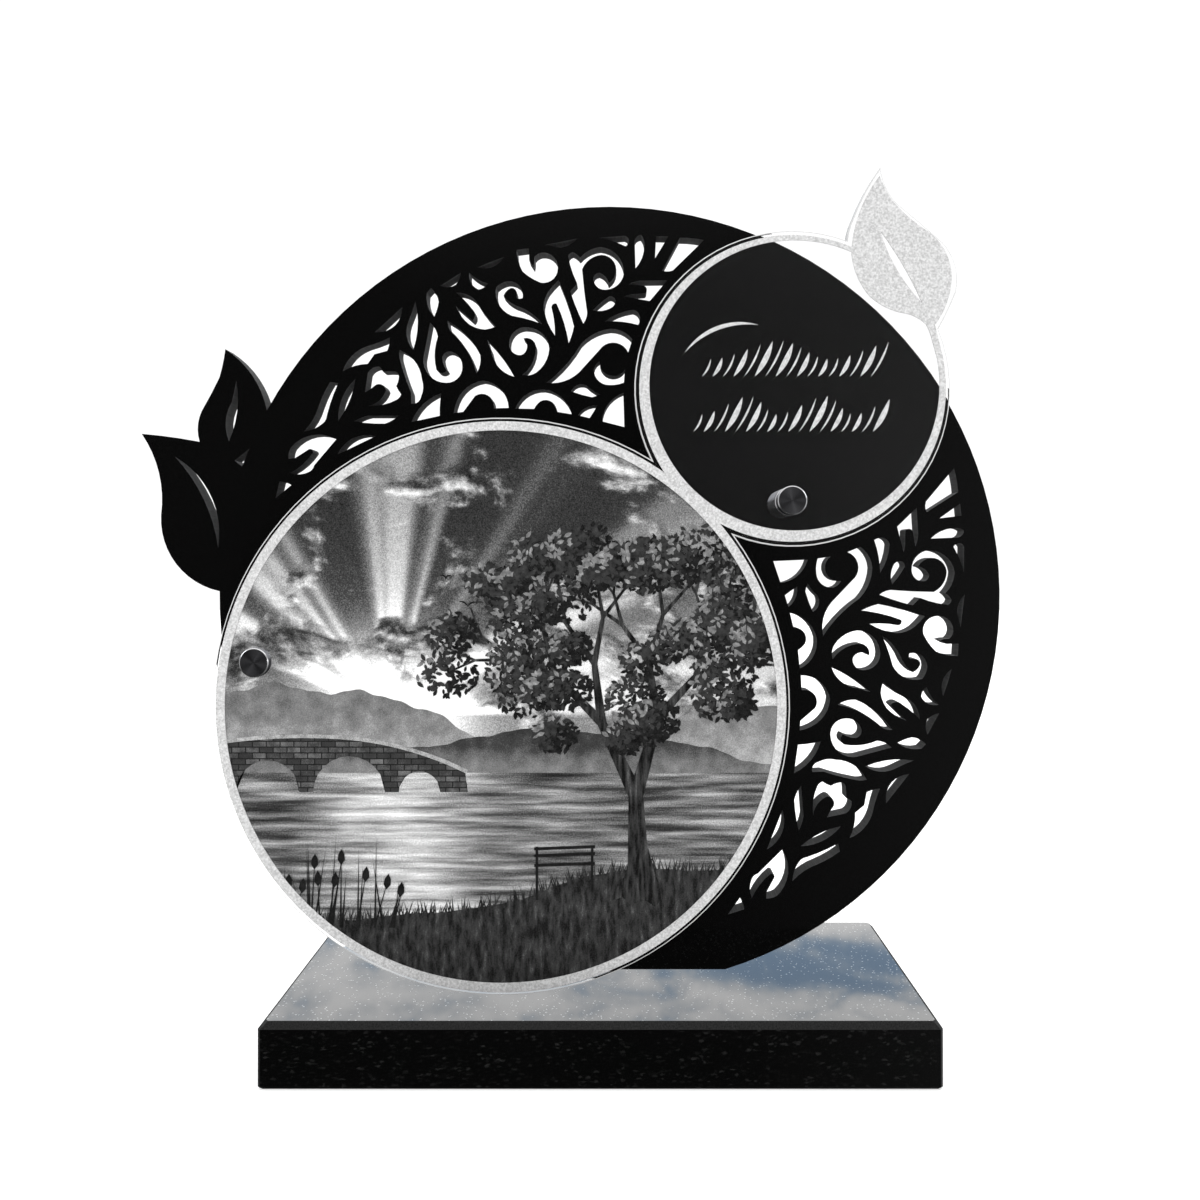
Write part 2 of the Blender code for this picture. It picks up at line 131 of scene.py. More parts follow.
world = bpy.data.worlds.new("white_room")
bpy.context.scene.world = world
world.use_nodes = True
sky = world.node_tree
sky.nodes.clear()
outward = add_node(sky, "ShaderNodeTexCoord").outputs["Generated"]
heading = add_node(sky, "ShaderNodeSeparateXYZ", None, {0: outward})
path = add_node(sky, "ShaderNodeLightPath")
behind = add_node(sky, "ShaderNodeMath", {"operation": "GREATER_THAN"}, {0: heading.outputs["Y"], 1: 0.0})
band = add_node(sky, "ShaderNodeMath", {"operation": "COMPARE"},
                {0: heading.outputs["Z"], 1: SKY_MIDDLE_Z, 2: SKY_REACH_Z})
stretched = add_node(sky, "ShaderNodeMapping", None, {"Vector": outward, "Scale": (1.0, 1.0, CLOUD_FLATNESS)})
cloud = add_node(sky, "ShaderNodeTexNoise", None,
                 {"Vector": stretched, "Scale": 13.0, "Detail": 8.0, "Roughness": 0.74, "Distortion": 0.6})
from_gap = add_node(sky, "ShaderNodeMapping", {"vector_type": "TEXTURE"},
                    {"Vector": outward, "Location": BLUE_GAP_PLACE, "Scale": BLUE_GAP_REACH})
gap_reach = add_node(sky, "ShaderNodeVectorMath", {"operation": "LENGTH"}, {0: from_gap}).outputs["Value"]
gap = add_node(sky, "ShaderNodeMapRange", SMOOTH_STEP,
               {"Value": gap_reach, "From Min": 0.4, "From Max": 1.3, "To Min": -0.09, "To Max": 0.085})
cover = add_node(sky, "ShaderNodeMath", {"operation": "ADD"}, {0: cloud, 1: gap})
cloud_colour = colour_ramp(add_node(sky, "ShaderNodeValToRGB", None, {0: cover}),
                           [(0.40, "#8ea6c0"), (0.47, "#b2c2d2"), (0.53, "#d8dce0"), (0.64, "#fafafa"),
                            (0.74, "#ffffff")])

# The dim room brightens upwards, to the right, overhead and at both side walls: each from where to where, and
# by how much.
beside = add_node(sky, "ShaderNodeMath", {"operation": "ABSOLUTE"}, {0: heading.outputs["X"]})
dim = DIM_ROOM
for part, start, full, brightness in [
        (heading.outputs["Z"], 0.22, 0.50, 0.29), (heading.outputs["X"], 0.05, 0.60, 0.16),
        (heading.outputs["Z"], 0.45, 0.75, 0.90), (beside, 0.80, 0.97, 0.60)]:
    patch = add_node(sky, "ShaderNodeMapRange", SMOOTH_STEP,
                     {"Value": part, "From Min": start, "From Max": full, "To Max": brightness})
    dim = add_node(sky, "ShaderNodeMath", {"operation": "ADD"}, {0: patch, 1: dim})

# A mirrored ray sees the sky in a band behind the plaque, and the dim room elsewhere. A ray bent through the
# panel sees the dim room in front. Every other ray sees white.
sharp = add_node(sky, "ShaderNodeMath", {"operation": "SUBTRACT"},
                 {0: 1.0, 1: path.outputs["Is Diffuse Ray"]})
mirrored = add_node(sky, "ShaderNodeMath", {"operation": "MULTIPLY"},
                    {0: path.outputs["Is Reflection Ray"], 1: sharp})
sky_place = add_node(sky, "ShaderNodeMath", {"operation": "MULTIPLY"}, {0: behind, 1: band})
sky_seen = add_node(sky, "ShaderNodeMath", {"operation": "MULTIPLY"}, {0: mirrored, 1: sky_place})
off_sky = add_node(sky, "ShaderNodeMath", {"operation": "SUBTRACT"}, {0: mirrored, 1: sky_seen})
in_front = add_node(sky, "ShaderNodeMath", {"operation": "SUBTRACT"}, {0: 1.0, 1: behind})
through = add_node(sky, "ShaderNodeMath", {"operation": "MULTIPLY"},
                   {0: path.outputs["Is Transmission Ray"], 1: in_front})
dim_seen = add_node(sky, "ShaderNodeMath", {"operation": "MAXIMUM"}, {0: off_sky, 1: through})
bright_sky = add_node(sky, "ShaderNodeVectorMath", {"operation": "SCALE"},
                      {"Vector": cloud_colour, "Scale": SKY_STRENGTH})
open_air = add_node(sky, "ShaderNodeMix", {"data_type": "RGBA"},
                    {"Factor": sky_seen, "A": (ROOM_WHITE, ROOM_WHITE, ROOM_WHITE, 1), "B": bright_sky})
all_round = add_node(sky, "ShaderNodeMix", {"data_type": "RGBA"},
                     {"Factor": dim_seen, "A": open_air, "B": dim})
background = add_node(sky, "ShaderNodeBackground", None, {"Color": all_round, "Strength": 1.0})
add_node(sky, "ShaderNodeOutputWorld", None, {"Surface": background})


def softbox(name, place, aim, width, power):
    """A square soft light, wide enough to draw a broad edge on turned metal."""
    lamp = bpy.data.objects.new(name, bpy.data.lights.new(name, "AREA"))
    lamp.data.size = width
    lamp.data.energy = power
    lamp.location = place
    lamp.rotation_euler = (Vector(aim) - Vector(place)).to_track_quat("-Z", "Y").to_euler()
    bpy.context.scene.collection.objects.link(lamp)


softbox("softbox_above", (0.06, -0.70, 1.25), (0, 0, 0.2), 0.35, 1.0)
softbox("softbox_right", (1.15, -0.65, 0.35), (0, 0, 0.2), 0.30, 0.6)
softbox("softbox_left", (-1.15, -0.75, 0.25), (0, 0, 0.2), 0.30, 0.6)

FLOOR_SIDE = 8.0
FLOOR_GAP = 0.0002
floor_form = bmesh.new()
bmesh.ops.create_grid(floor_form, x_segments=1, y_segments=1, size=FLOOR_SIDE / 2)
bmesh.ops.translate(floor_form, verts=floor_form.verts, vec=(0, 0, cad_low.z - FLOOR_GAP))
floor_mesh = bpy.data.meshes.new("floor")
floor_form.to_mesh(floor_mesh)
floor_form.free()
floor = bpy.data.objects.new("floor", floor_mesh)
bpy.context.scene.collection.objects.link(floor)
floor.visible_glossy = False


def new_material(name):
    """An empty node material, its tree, and the Principled shader at its end."""
    material = bpy.data.materials.new(name)
    material.use_nodes = True
    tree = material.node_tree
    tree.nodes.clear()
    shader = add_node(tree, "ShaderNodeBsdfPrincipled")
    add_node(tree, "ShaderNodeOutputMaterial", None, {"Surface": shader})
    return material, tree, shader


# White painted board: dull and even, with a mottle far too faint to read as a pattern.
board, tree, shader = new_material("white_painted_board")
mottle = add_node(tree, "ShaderNodeTexNoise", None, {"Scale": 6.0, "Detail": 2.0})
board_colour = colour_ramp(add_node(tree, "ShaderNodeValToRGB", None, {0: mottle}),
                           [(0, "#fafafa"), (1, "#fdfdfd")])
feed(tree, shader, {"Base Color": board_colour, "Roughness": 0.9, "Specular IOR Level": 0.0,
                    "Emission Color": (1, 1, 1, 1), "Emission Strength": 0.42})
floor.data.materials.append(board)

# Plinth
# A slab of black granite, sawn, its top and sides polished and the edges honed to a narrow chamfer.
# It rests on its own weight, and the disc stands on its flat.
GRAIN_MM = 0.85
FLECK_MM = 1.9
FLECK_CORE = 0.22
FLECK_RARITY = 0.42
CHAMFER_GRIT_MM = 0.6

# The upward part of a face's normal: 1 on the top, about 0.7 on the chamfer and 0 on a side.
LEVEL_ABOVE = 0.95
CHAMFER_TILT = 0.7
CHAMFER_TILT_REACH = 0.22

# Polished black granite: near-black crystals; feldspar and mica flecks, on the top only, as painted glints.
granite, tree, shader = new_material("polished_black_granite")
place = add_node(tree, "ShaderNodeTexCoord").outputs["Object"]
facing = add_node(tree, "ShaderNodeNewGeometry").outputs["True Normal"]
upward = add_node(tree, "ShaderNodeSeparateXYZ", None, {0: facing}).outputs["Z"]
is_top = add_node(tree, "ShaderNodeMath", {"operation": "GREATER_THAN"}, {0: upward, 1: LEVEL_ABOVE})
is_sloped = add_node(tree, "ShaderNodeMath", {"operation": "COMPARE"},
                     {0: upward, 1: CHAMFER_TILT, 2: CHAMFER_TILT_REACH})
lying = add_node(tree, "ShaderNodeMapping", None, {"Vector": place, "Scale": (0.5, 0.5, 1.0)})
crystals = add_node(tree, "ShaderNodeTexVoronoi", None, {"Vector": lying, "Scale": 1000 / GRAIN_MM})
crystal_tone = add_node(tree, "ShaderNodeSeparateColor", None, {0: crystals.outputs["Color"]})
body_colour = colour_ramp(add_node(tree, "ShaderNodeValToRGB", None, {0: crystal_tone.outputs["Red"]}),
                          [(0.0, "#010101"), (0.84, "#020202"), (0.93, "#0a0a0a"), (1.0, "#1c1c1c")])
flecks = add_node(tree, "ShaderNodeTexVoronoi", None, {"Vector": place, "Scale": 1000 / FLECK_MM})
fleck_pick = add_node(tree, "ShaderNodeSeparateColor", None, {0: flecks.outputs["Color"]})
fleck_core = add_node(tree, "ShaderNodeMath", {"operation": "LESS_THAN"},
                      {0: flecks.outputs["Distance"], 1: FLECK_CORE})
fleck_rare = add_node(tree, "ShaderNodeMath", {"operation": "GREATER_THAN"},
                      {0: fleck_pick.outputs["Green"], 1: FLECK_RARITY})
fleck = add_node(tree, "ShaderNodeMath", {"operation": "MULTIPLY"}, {0: fleck_core, 1: fleck_rare})
# Painted glints: the flecks show on the top face only, grey to white, where light from above would catch them.
painted_glint = add_node(tree, "ShaderNodeMath", {"operation": "MULTIPLY"}, {0: fleck, 1: is_top})
painted_glint_tone = colour_ramp(add_node(tree, "ShaderNodeValToRGB", None, {0: fleck_pick.outputs["Blue"]}),
                        [(0.0, "#606468"), (1.0, "#f4f6f8")])
with_painted_glint = add_node(tree, "ShaderNodeMix", {"data_type": "RGBA"},
                     {"Factor": painted_glint, "A": body_colour, "B": painted_glint_tone})
grit = add_node(tree, "ShaderNodeTexNoise", None,
                {"Vector": place, "Scale": 1000 / CHAMFER_GRIT_MM, "Detail": 2.0, "Roughness": 0.7})
honed_colour = colour_ramp(add_node(tree, "ShaderNodeValToRGB", None, {0: grit}),
                           [(0.38, "#080808"), (0.62, "#242424")])
stone_colour = add_node(tree, "ShaderNodeMix", {"data_type": "RGBA"},
                        {"Factor": is_sloped, "A": with_painted_glint, "B": honed_colour})
stone_roughness = add_node(tree, "ShaderNodeMapRange", None,
                           {"Value": is_sloped, "To Min": 0.035, "To Max": 0.5})
stone_shine = add_node(tree, "ShaderNodeMapRange", None, {"Value": is_sloped, "To Min": 0.5, "To Max": 0.12})
feed(tree, shader, {"Base Color": stone_colour, "Roughness": stone_roughness, "IOR": 1.56,
                    "Specular IOR Level": stone_shine})


def dress(piece, node):
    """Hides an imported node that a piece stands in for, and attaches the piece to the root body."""
    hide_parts(node)
    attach(piece, "root")


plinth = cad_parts["plinth"]
plinth.data.materials.clear()
plinth.data.materials.append(granite)

# Back plate
# One sheet of black cast acrylic, cut by laser: a disc with two leaves, and scroll fretwork right through it.
# Its faces keep the sheet's gloss, and the cut walls are duller and greyer. It stands on the plinth.
MERGE_DISTANCE = 0.00001
SMOOTH_BELOW = math.radians(30)
WALL_BELOW = 0.5


def merged_form(node):
    """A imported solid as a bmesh, with its loose triangles joined along their edges."""
    form = bmesh.new()
    form.from_mesh(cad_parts[node].data)
    bmesh.ops.remove_doubles(form, verts=form.verts, dist=MERGE_DISTANCE)
    return form


def finished_piece(name, form, materials, is_round=lambda face: abs(face.normal.y) < WALL_BELOW):
    """Makes the object of a finished bmesh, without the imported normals. Its round faces are shaded smooth."""
    for face in form.faces:
        face.smooth = is_round(face)
    mesh = bpy.data.meshes.new(name)
    form.to_mesh(mesh)
    form.free()
    if "custom_normal" in mesh.attributes:
        mesh.attributes.remove(mesh.attributes["custom_normal"])
    for material in materials:
        mesh.materials.append(material)
    mesh.set_sharp_from_angle(angle=SMOOTH_BELOW)
    piece = bpy.data.objects.new(name, mesh)
    bpy.context.scene.collection.objects.link(piece)
    return piece


# Black cast acrylic: the sheet's own gloss on its two faces.
gloss_black, tree, shader = new_material("black_cast_acrylic_gloss")
place = add_node(tree, "ShaderNodeTexCoord").outputs["Object"]
haze = add_node(tree, "ShaderNodeTexNoise", None, {"Vector": place, "Scale": 14.0, "Detail": 3.0})
haze_roughness = add_node(tree, "ShaderNodeMapRange", None, {"Value": haze, "To Min": 0.03, "To Max": 0.08})
feed(tree, shader, {"Roughness": haze_roughness, "Base Color": linear("#050505"), "IOR": 1.49})

CUT_LINE_MM = 0.5
CUT_LINE_STRETCH = 0.05


def cut_lines(tree):
    """The lines that a laser leaves across a sheet's edge, drawn coarser than they are so that they show."""
    place = add_node(tree, "ShaderNodeTexCoord").outputs["Object"]
    across = add_node(tree, "ShaderNodeMapping", None,
                      {"Vector": place, "Scale": (1.0, CUT_LINE_STRETCH, 1.0)})
    return add_node(tree, "ShaderNodeTexNoise", None,
                    {"Vector": across, "Scale": 1000 / CUT_LINE_MM, "Detail": 1.0})


# Laser-cut acrylic wall: a dull grey with fine lines across the sheet.
cut_wall, tree, shader = new_material("black_cast_acrylic_cut_wall")
lines = cut_lines(tree)
wall_colour = colour_ramp(add_node(tree, "ShaderNodeValToRGB", None, {0: lines}),
                          [(0.3, "#3c3c3c"), (0.7, "#505050")])
wall_bump = add_node(tree, "ShaderNodeBump", None, {"Strength": 0.2, "Distance": 0.0002, "Height": lines})
feed(tree, shader, {"Base Color": wall_colour, "Normal": wall_bump, "Roughness": 0.75,
                    "Specular IOR Level": 0.08})

form = merged_form("back_plate")
for face in form.faces:
    face.material_index = 0 if abs(face.normal.y) > WALL_BELOW else 1
plate = finished_piece("back_plate_sheet", form, [gloss_black, cut_wall])
plate.visible_glossy = False
dress(plate, "back_plate")

# Front panel
# One sheet of clear cast acrylic, a large and a small disc run together with a leaf on the small one.
# Its front edge is chamfered, left frosted and given a faint painted glow, which draws the thin bright outline.
# Two standoffs hold it.
EDGE_CHAMFER = 0.0006
FLAT_ABOVE = 0.9
SLOPED_ABOVE = 0.3
FLAT_WITHIN = math.radians(0.5)
panel_low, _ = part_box("front_panel")

# Clear cast acrylic: colourless and polished, with the least milkiness of a thick sheet.
clear, tree, shader = new_material("clear_cast_acrylic")
feed(tree, shader, {"Base Color": linear("#ffffff"), "Transmission Weight": 0.998, "Roughness": 0.0,
                    "IOR": 1.49})

# Frosted chamfer: rubbed to a fine even white, with a faint painted glow in place of the light the sheet
# carries to it.
RUB_GRIT_MM = 0.6
edge_frost_and_painted_glow, tree, shader = new_material("clear_acrylic_edge_frost_and_painted_glow")
place = add_node(tree, "ShaderNodeTexCoord").outputs["Object"]
rub = add_node(tree, "ShaderNodeTexNoise", None,
               {"Vector": place, "Scale": 1000 / RUB_GRIT_MM, "Detail": 1.0})
rub_colour = colour_ramp(add_node(tree, "ShaderNodeValToRGB", None, {0: rub}),
                         [(0.2, "#999999"), (0.8, "#b4b4b4")])
feed(tree, shader, {"Base Color": rub_colour, "Emission Color": (1, 1, 1, 1), "Emission Strength": 0.24,
                    "Roughness": 0.5, "IOR": 1.49})

# Satin wall of the sheet: grey from outside. From inside it lets the eye through, where the real one mirrors.
satin_wall, tree, shader = new_material("clear_acrylic_satin_wall")
satin_colour = colour_ramp(add_node(tree, "ShaderNodeValToRGB", None, {0: cut_lines(tree)}),
                           [(0.3, "#6a6a6a"), (0.7, "#868686")])
inside = add_node(tree, "ShaderNodeNewGeometry").outputs["Backfacing"]
seen = add_node(tree, "ShaderNodeMath", {"operation": "SUBTRACT"}, {0: 1.0, 1: inside})
feed(tree, shader, {"Base Color": satin_colour, "Alpha": seen, "Roughness": 0.4, "IOR": 1.49})

form = merged_form("front_panel")
bmesh.ops.dissolve_limit(form, angle_limit=FLAT_WITHIN, verts=form.verts, edges=form.edges)
front_faces = [face for face in form.faces if face.normal.y < -FLAT_ABOVE]
level = front_faces[0].verts[0].co.y
bmesh.ops.inset_region(form, faces=front_faces, thickness=EDGE_CHAMFER, depth=0, use_even_offset=True)
rim = [vert for vert in form.verts if abs(vert.co.y - level) < MERGE_DISTANCE
       and any(abs(face.normal.y) < WALL_BELOW for face in vert.link_faces)]
bmesh.ops.translate(form, verts=rim, vec=(0, EDGE_CHAMFER, 0))
form.normal_update()
for face in form.faces:
    tilt = abs(face.normal.y)
    face.material_index = 0 if tilt > FLAT_ABOVE else 1 if tilt > SLOPED_ABOVE else 2
panel = finished_piece("front_panel_sheet", form, [clear, edge_frost_and_painted_glow, satin_wall])
panel.visible_shadow = False
panel.visible_glossy = False
dress(panel, "front_panel")

# Frosted film
# White frosted film, cut as a ring inside the edge of each disc and a fill for the leaf, with its midrib left
# clear. It is stuck to the panel's front, and the picture's edge runs under the large ring.
FILM_THICKNESS = 0.0006
RING_OUTER = 0.13225
PICTURE_RADIUS = 0.12807
SMALL_RING_OUTER = 0.07106
SMALL_RING_INNER = 0.06726
SMALL_RING_SLIP = (0.00093, 0.00143)
RING_SIDES = 192
MM = 0.001

# The leaf and its midrib, in millimetres from the small disc's centre: corners and the next side's bow.
FILM_LEAF = [
    (40.3, 98.5, 2.9), (27.3, 63.0, 1.7), (35.6, 42.9, 1.2), (50.9, 35.0, -1.3), (63.0, 28.5, 0),
    (67.2, 13.2, 0), (70.0, 13.2, 0), (66.0, 29.4, 1.6), (73.7, 50.0, 3.7), (61.1, 73.9, -0.9),
    (45.4, 88.3, -0.2)]
LEAF_MIDRIB = [(40.7, 73.0, 2.4), (60.1, 39.6, 1.1)]

# The large disc rests on the plinth. The small one lies up a line from its middle at the panel's slant.
LARGE_DISC_RADIUS = 0.1341
DISC_SPACING = 0.2000
PANEL_SLANT = math.radians(47.5)
LARGE_DISC = Vector((panel_low.x + LARGE_DISC_RADIUS, 0, panel_low.z + LARGE_DISC_RADIUS))
SMALL_DISC = LARGE_DISC + DISC_SPACING * Vector((math.cos(PANEL_SLANT), 0, math.sin(PANEL_SLANT)))


def bowed_outline(corners, sides_per_arc=12):
    """Points of an outline of straight sides and arcs. A positive bow swells to the right of its way."""
    points = []
    for (x, z, bow), (next_x, next_z, _) in zip(corners, corners[1:] + corners[:1]):
        points.append((x, z))
        if bow == 0:
            continue
        along = Vector((next_x - x, next_z - z))
        right = Vector((along.y, -along.x)).normalized()
        half = along.length / 2
        radius = (half ** 2 + bow ** 2) / (2 * abs(bow))
        sweep = math.asin(min(1.0, half / radius))
        for step in range(1, sides_per_arc):
            turn = sweep * (2 * step / sides_per_arc - 1)
            swell = math.copysign(radius * math.cos(turn) - (radius - abs(bow)), bow)
            spot = Vector((x, z)) + along / 2 + along.normalized() * radius * math.sin(turn) + right * swell
            points.append(tuple(spot))
    return points


def circle_outline(radius, sides=RING_SIDES):
    """Points round a circle about (0, 0), anticlockwise as seen from the front."""
    return [(radius * math.cos(2 * math.pi * step / sides), radius * math.sin(2 * math.pi * step / sides))
            for step in range(sides)]


def cut_film(form, outline, centre, front, thickness):
    """Adds one flat film shape to a bmesh, its front face towards the viewer and a back behind it."""
    verts = [form.verts.new((centre.x + x, front, centre.z + z)) for x, z in outline]
    face = form.faces.new(verts)
    grown = bmesh.ops.extrude_face_region(form, geom=[face])["geom"]
    back = [item for item in grown if isinstance(item, bmesh.types.BMVert)]
    bmesh.ops.translate(form, verts=back, vec=(0, thickness, 0))


def film_blank(outline, centre, overshoot=0.0):
    """A closed film shape as an object, for joining to the film or cutting it."""
    form = bmesh.new()
    cut_film(form, outline, centre, panel_low.y - FILM_THICKNESS - overshoot, FILM_THICKNESS + 2 * overshoot)
    bmesh.ops.recalc_face_normals(form, faces=form.faces)
    return finished_piece("film_blank", form, [])


def scaled(points, factor):
    """The points of an outline times a factor."""
    return [(x * factor, z * factor) for x, z in points]


# Frosted vinyl: an even white with a fine sparkle of grain, drawn coarser than it is so that it shows.
FILM_GRAIN_MM = 0.9
frosted, tree, shader = new_material("frosted_vinyl_film")
place = add_node(tree, "ShaderNodeTexCoord").outputs["Object"]
film_grain = add_node(tree, "ShaderNodeTexNoise", None,
                      {"Vector": place, "Scale": 1000 / FILM_GRAIN_MM, "Detail": 2.0, "Roughness": 0.7})
film_colour = colour_ramp(add_node(tree, "ShaderNodeValToRGB", None, {0: film_grain}),
                          [(0.34, "#aaaaaa"), (0.66, "#d8d8d8")])
film_bump = add_node(tree, "ShaderNodeBump", None,
                     {"Strength": 0.15, "Distance": 0.0001, "Height": film_grain})
feed(tree, shader, {"Base Color": film_colour, "Normal": film_bump, "Roughness": 0.6,
                    "Specular IOR Level": 0.3})

film = film_blank(circle_outline(RING_OUTER), LARGE_DISC)
slipped = SMALL_DISC + Vector((SMALL_RING_SLIP[0], 0, SMALL_RING_SLIP[1]))
film_steps = [
    ("UNION", film_blank(circle_outline(SMALL_RING_OUTER), SMALL_DISC)),
    ("DIFFERENCE", film_blank(circle_outline(PICTURE_RADIUS), LARGE_DISC, FILM_THICKNESS)),
    ("DIFFERENCE", film_blank(circle_outline(SMALL_RING_INNER), slipped, FILM_THICKNESS)),
    ("UNION", film_blank(scaled(bowed_outline(FILM_LEAF), MM), SMALL_DISC)),
    ("DIFFERENCE", film_blank(scaled(bowed_outline(LEAF_MIDRIB), MM), SMALL_DISC, FILM_THICKNESS)),
]
for operation, blank in film_steps:
    step = film.modifiers.new("film_step", "BOOLEAN")
    step.operation = operation
    step.solver = "EXACT"
    step.object = blank
bpy.context.view_layer.update()
joined = bpy.data.meshes.new_from_object(film.evaluated_get(bpy.context.evaluated_depsgraph_get()))
form = bmesh.new()
form.from_mesh(joined)
rings = finished_piece("frosted_rings_and_leaf", form, [frosted])
for spare in [joined, film.data] + [blank.data for _, blank in film_steps]:
    bpy.data.meshes.remove(spare)


def lay_on_panel(piece):
    """Lets a film or print ride with the panel, and keeps it out of what polished faces mirror."""
    piece.visible_glossy = False
    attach(piece, "root")


lay_on_panel(rings)

# Inscription
# Two rows of slanted strokes and one long arc, cut from the same frosted film. They are not letters.
STROKE_LEAN = math.tan(math.radians(27))
STROKE_STEP_MM = 4.9
THIN_STROKE_MM = 0.45
THICK_STROKE_MM = 0.85
STROKE_SWELL_MM = 0.45
STROKE_CURL_MM = 0.8
ROWS_MM = [
    {"start": -42.0, "foot": 5.6, "strokes": 17, "low": 8.0, "high": 16.5, "waves": 1.5},
    {"start": -46.0, "foot": -20.0, "strokes": 18, "low": 8.0, "high": 16.5, "waves": 2.5},
]
FLOURISH_MM = [(-50.0, 16.5, -4.4), (-16.0, 29.5, 6.2)]

strokes = bmesh.new()
stroke_front = panel_low.y - FILM_THICKNESS
for row in ROWS_MM:
    for count in range(row["strokes"]):
        swell = 0.5 - 0.5 * math.cos(2 * math.pi * row["waves"] * count / row["strokes"])
        height = row["low"] + (row["high"] - row["low"]) * swell
        x = row["start"] + STROKE_STEP_MM * count
        thick = THICK_STROKE_MM + STROKE_SWELL_MM * swell if count % 2 else THIN_STROKE_MM
        stroke = [(x, row["foot"], thick + STROKE_CURL_MM),
                  (x + height * STROKE_LEAN, row["foot"] + height, thick - STROKE_CURL_MM)]
        cut_film(strokes, scaled(bowed_outline(stroke), MM), SMALL_DISC, stroke_front, FILM_THICKNESS)
cut_film(strokes, scaled(bowed_outline(FLOURISH_MM), MM), SMALL_DISC, stroke_front, FILM_THICKNESS)
bmesh.ops.recalc_face_normals(strokes, faces=strokes.faces)
lay_on_panel(finished_piece("inscription_strokes", strokes, [frosted]))

# Picture
# A landscape in greys, printed in thin opaque layers on the panel's front: a low sun over hills, a lake with
# an old bridge, and a great tree on the bank. Its places are shares of its radius about its middle.
LAYER_STEP = 0.00004
LAYER_THICKNESS = LAYER_STEP * 0.4
LAYER_NUDGE = LAYER_STEP * 0.5
PRINT_RADIUS = 0.1302
PRINT_GRAIN_MM = 0.55
EDGE_CUTS = 120
CUT_TOLERANCE = 0.0000001
PICTURE_EDGE = 1.05
SKY_DISC = 1.02
SKY_SIDES = 180
SUN = (-0.40, -0.03)
HORIZON = -0.24
HILL_FOOT = HORIZON - 0.1


def printed_ink(name):
    """A new ink: its material, tree and shader, and the place in the picture's own coordinates."""
    material, tree, shader = new_material(name)
    spot = add_node(tree, "ShaderNodeTexCoord").outputs["Object"]
    place = add_node(tree, "ShaderNodeMapping", {"vector_type": "TEXTURE"},
                     {"Vector": spot, "Location": tuple(LARGE_DISC), "Scale": (PICTURE_RADIUS,) * 3})
    flat = add_node(tree, "ShaderNodeVectorMath", {"operation": "MULTIPLY"}, {0: place, 1: (1.0, 0.0, 1.0)})
    return material, tree, shader, flat


def finish_ink(tree, shader, tone, grain=0.16):
    """Turns a tone from 0, black, to 1, white, into the grainy matt print."""
    spot = add_node(tree, "ShaderNodeTexCoord").outputs["Object"]
    speck = add_node(tree, "ShaderNodeTexNoise", None,
                     {"Vector": spot, "Scale": 1000 / PRINT_GRAIN_MM, "Detail": 1.5, "Roughness": 0.8})
    swing = add_node(tree, "ShaderNodeMapRange", None,
                     {"Value": speck, "From Min": 0.25, "From Max": 0.75, "To Min": -grain, "To Max": grain})
    grained = add_node(tree, "ShaderNodeMath", {"operation": "ADD"}, {0: tone, 1: swing})
    grey = colour_ramp(add_node(tree, "ShaderNodeValToRGB", None, {0: grained}),
                       [(0.0, "#040404"), (0.25, "#3c3c3c"), (0.5, "#7c7c7c"), (0.75, "#bcbcbc"),
                        (1.0, "#f4f4f4")])
    feed(tree, shader, {"Base Color": grey, "Roughness": 0.65, "Specular IOR Level": 0.15})


def close_print(name, form, ink, clip):
    """Clips flat shapes to the picture's round edge, gives them a thickness and makes their piece."""
    if clip:
        bmesh.ops.triangulate(form, faces=form.faces[:])
        for x, z in circle_outline(1.0, EDGE_CUTS):
            out = Vector((x, 0, z))
            bmesh.ops.bisect_plane(form, geom=form.verts[:] + form.edges[:] + form.faces[:],
                                   dist=CUT_TOLERANCE, plane_co=LARGE_DISC + out * PRINT_RADIUS,
                                   plane_no=out, clear_outer=True)
    grown = bmesh.ops.extrude_face_region(form, geom=form.faces[:])["geom"]
    back = [item for item in grown if isinstance(item, bmesh.types.BMVert)]
    bmesh.ops.translate(form, verts=back, vec=(0, LAYER_THICKNESS, 0))
    bmesh.ops.recalc_face_normals(form, faces=form.faces)
    lay_on_panel(finished_piece(name, form, [ink]))


def on_print(x, depth, z):
    """The place on the panel, at a depth, of a point of the picture."""
    return LARGE_DISC.x + PICTURE_RADIUS * x, depth, LARGE_DISC.z + PICTURE_RADIUS * z


def print_layer(name, outlines, ink, order, clip=True):
    """Prints flat shapes, clipped to the picture's round edge. A higher order lies further forward.
    Each shape lies at a slightly different depth, so that two never share a plane where they overlap."""
    nudge = random.Random(order)
    form = bmesh.new()
    front = panel_low.y - LAYER_STEP * (order + 1)
    for outline in outlines:
        depth = front + LAYER_NUDGE * nudge.random()
        form.faces.new([form.verts.new(on_print(x, depth, z)) for x, z in outline])
    close_print(name, form, ink, clip)


# Sky ink: dark above, rays fanning from the low sun, and torn clouds lit on the side towards it.
ink, tree, shader, place = printed_ink("printed_sky")
height = add_node(tree, "ShaderNodeSeparateXYZ", None, {0: place}).outputs["Z"]
from_sun = add_node(tree, "ShaderNodeVectorMath", {"operation": "SUBTRACT"},
                    {0: place, 1: (SUN[0], 0.0, SUN[1])})
sun_parts = add_node(tree, "ShaderNodeSeparateXYZ", None, {0: from_sun})
distance = add_node(tree, "ShaderNodeVectorMath", {"operation": "LENGTH"}, {0: from_sun}).outputs["Value"]
bearing = add_node(tree, "ShaderNodeMath", {"operation": "ARCTAN2"},
                   {0: sun_parts.outputs["Z"], 1: sun_parts.outputs["X"]})
ray_noise = add_node(tree, "ShaderNodeTexNoise", {"noise_dimensions": "1D"},
                     {"W": bearing, "Scale": 2.9, "Detail": 2.0, "Roughness": 0.42})
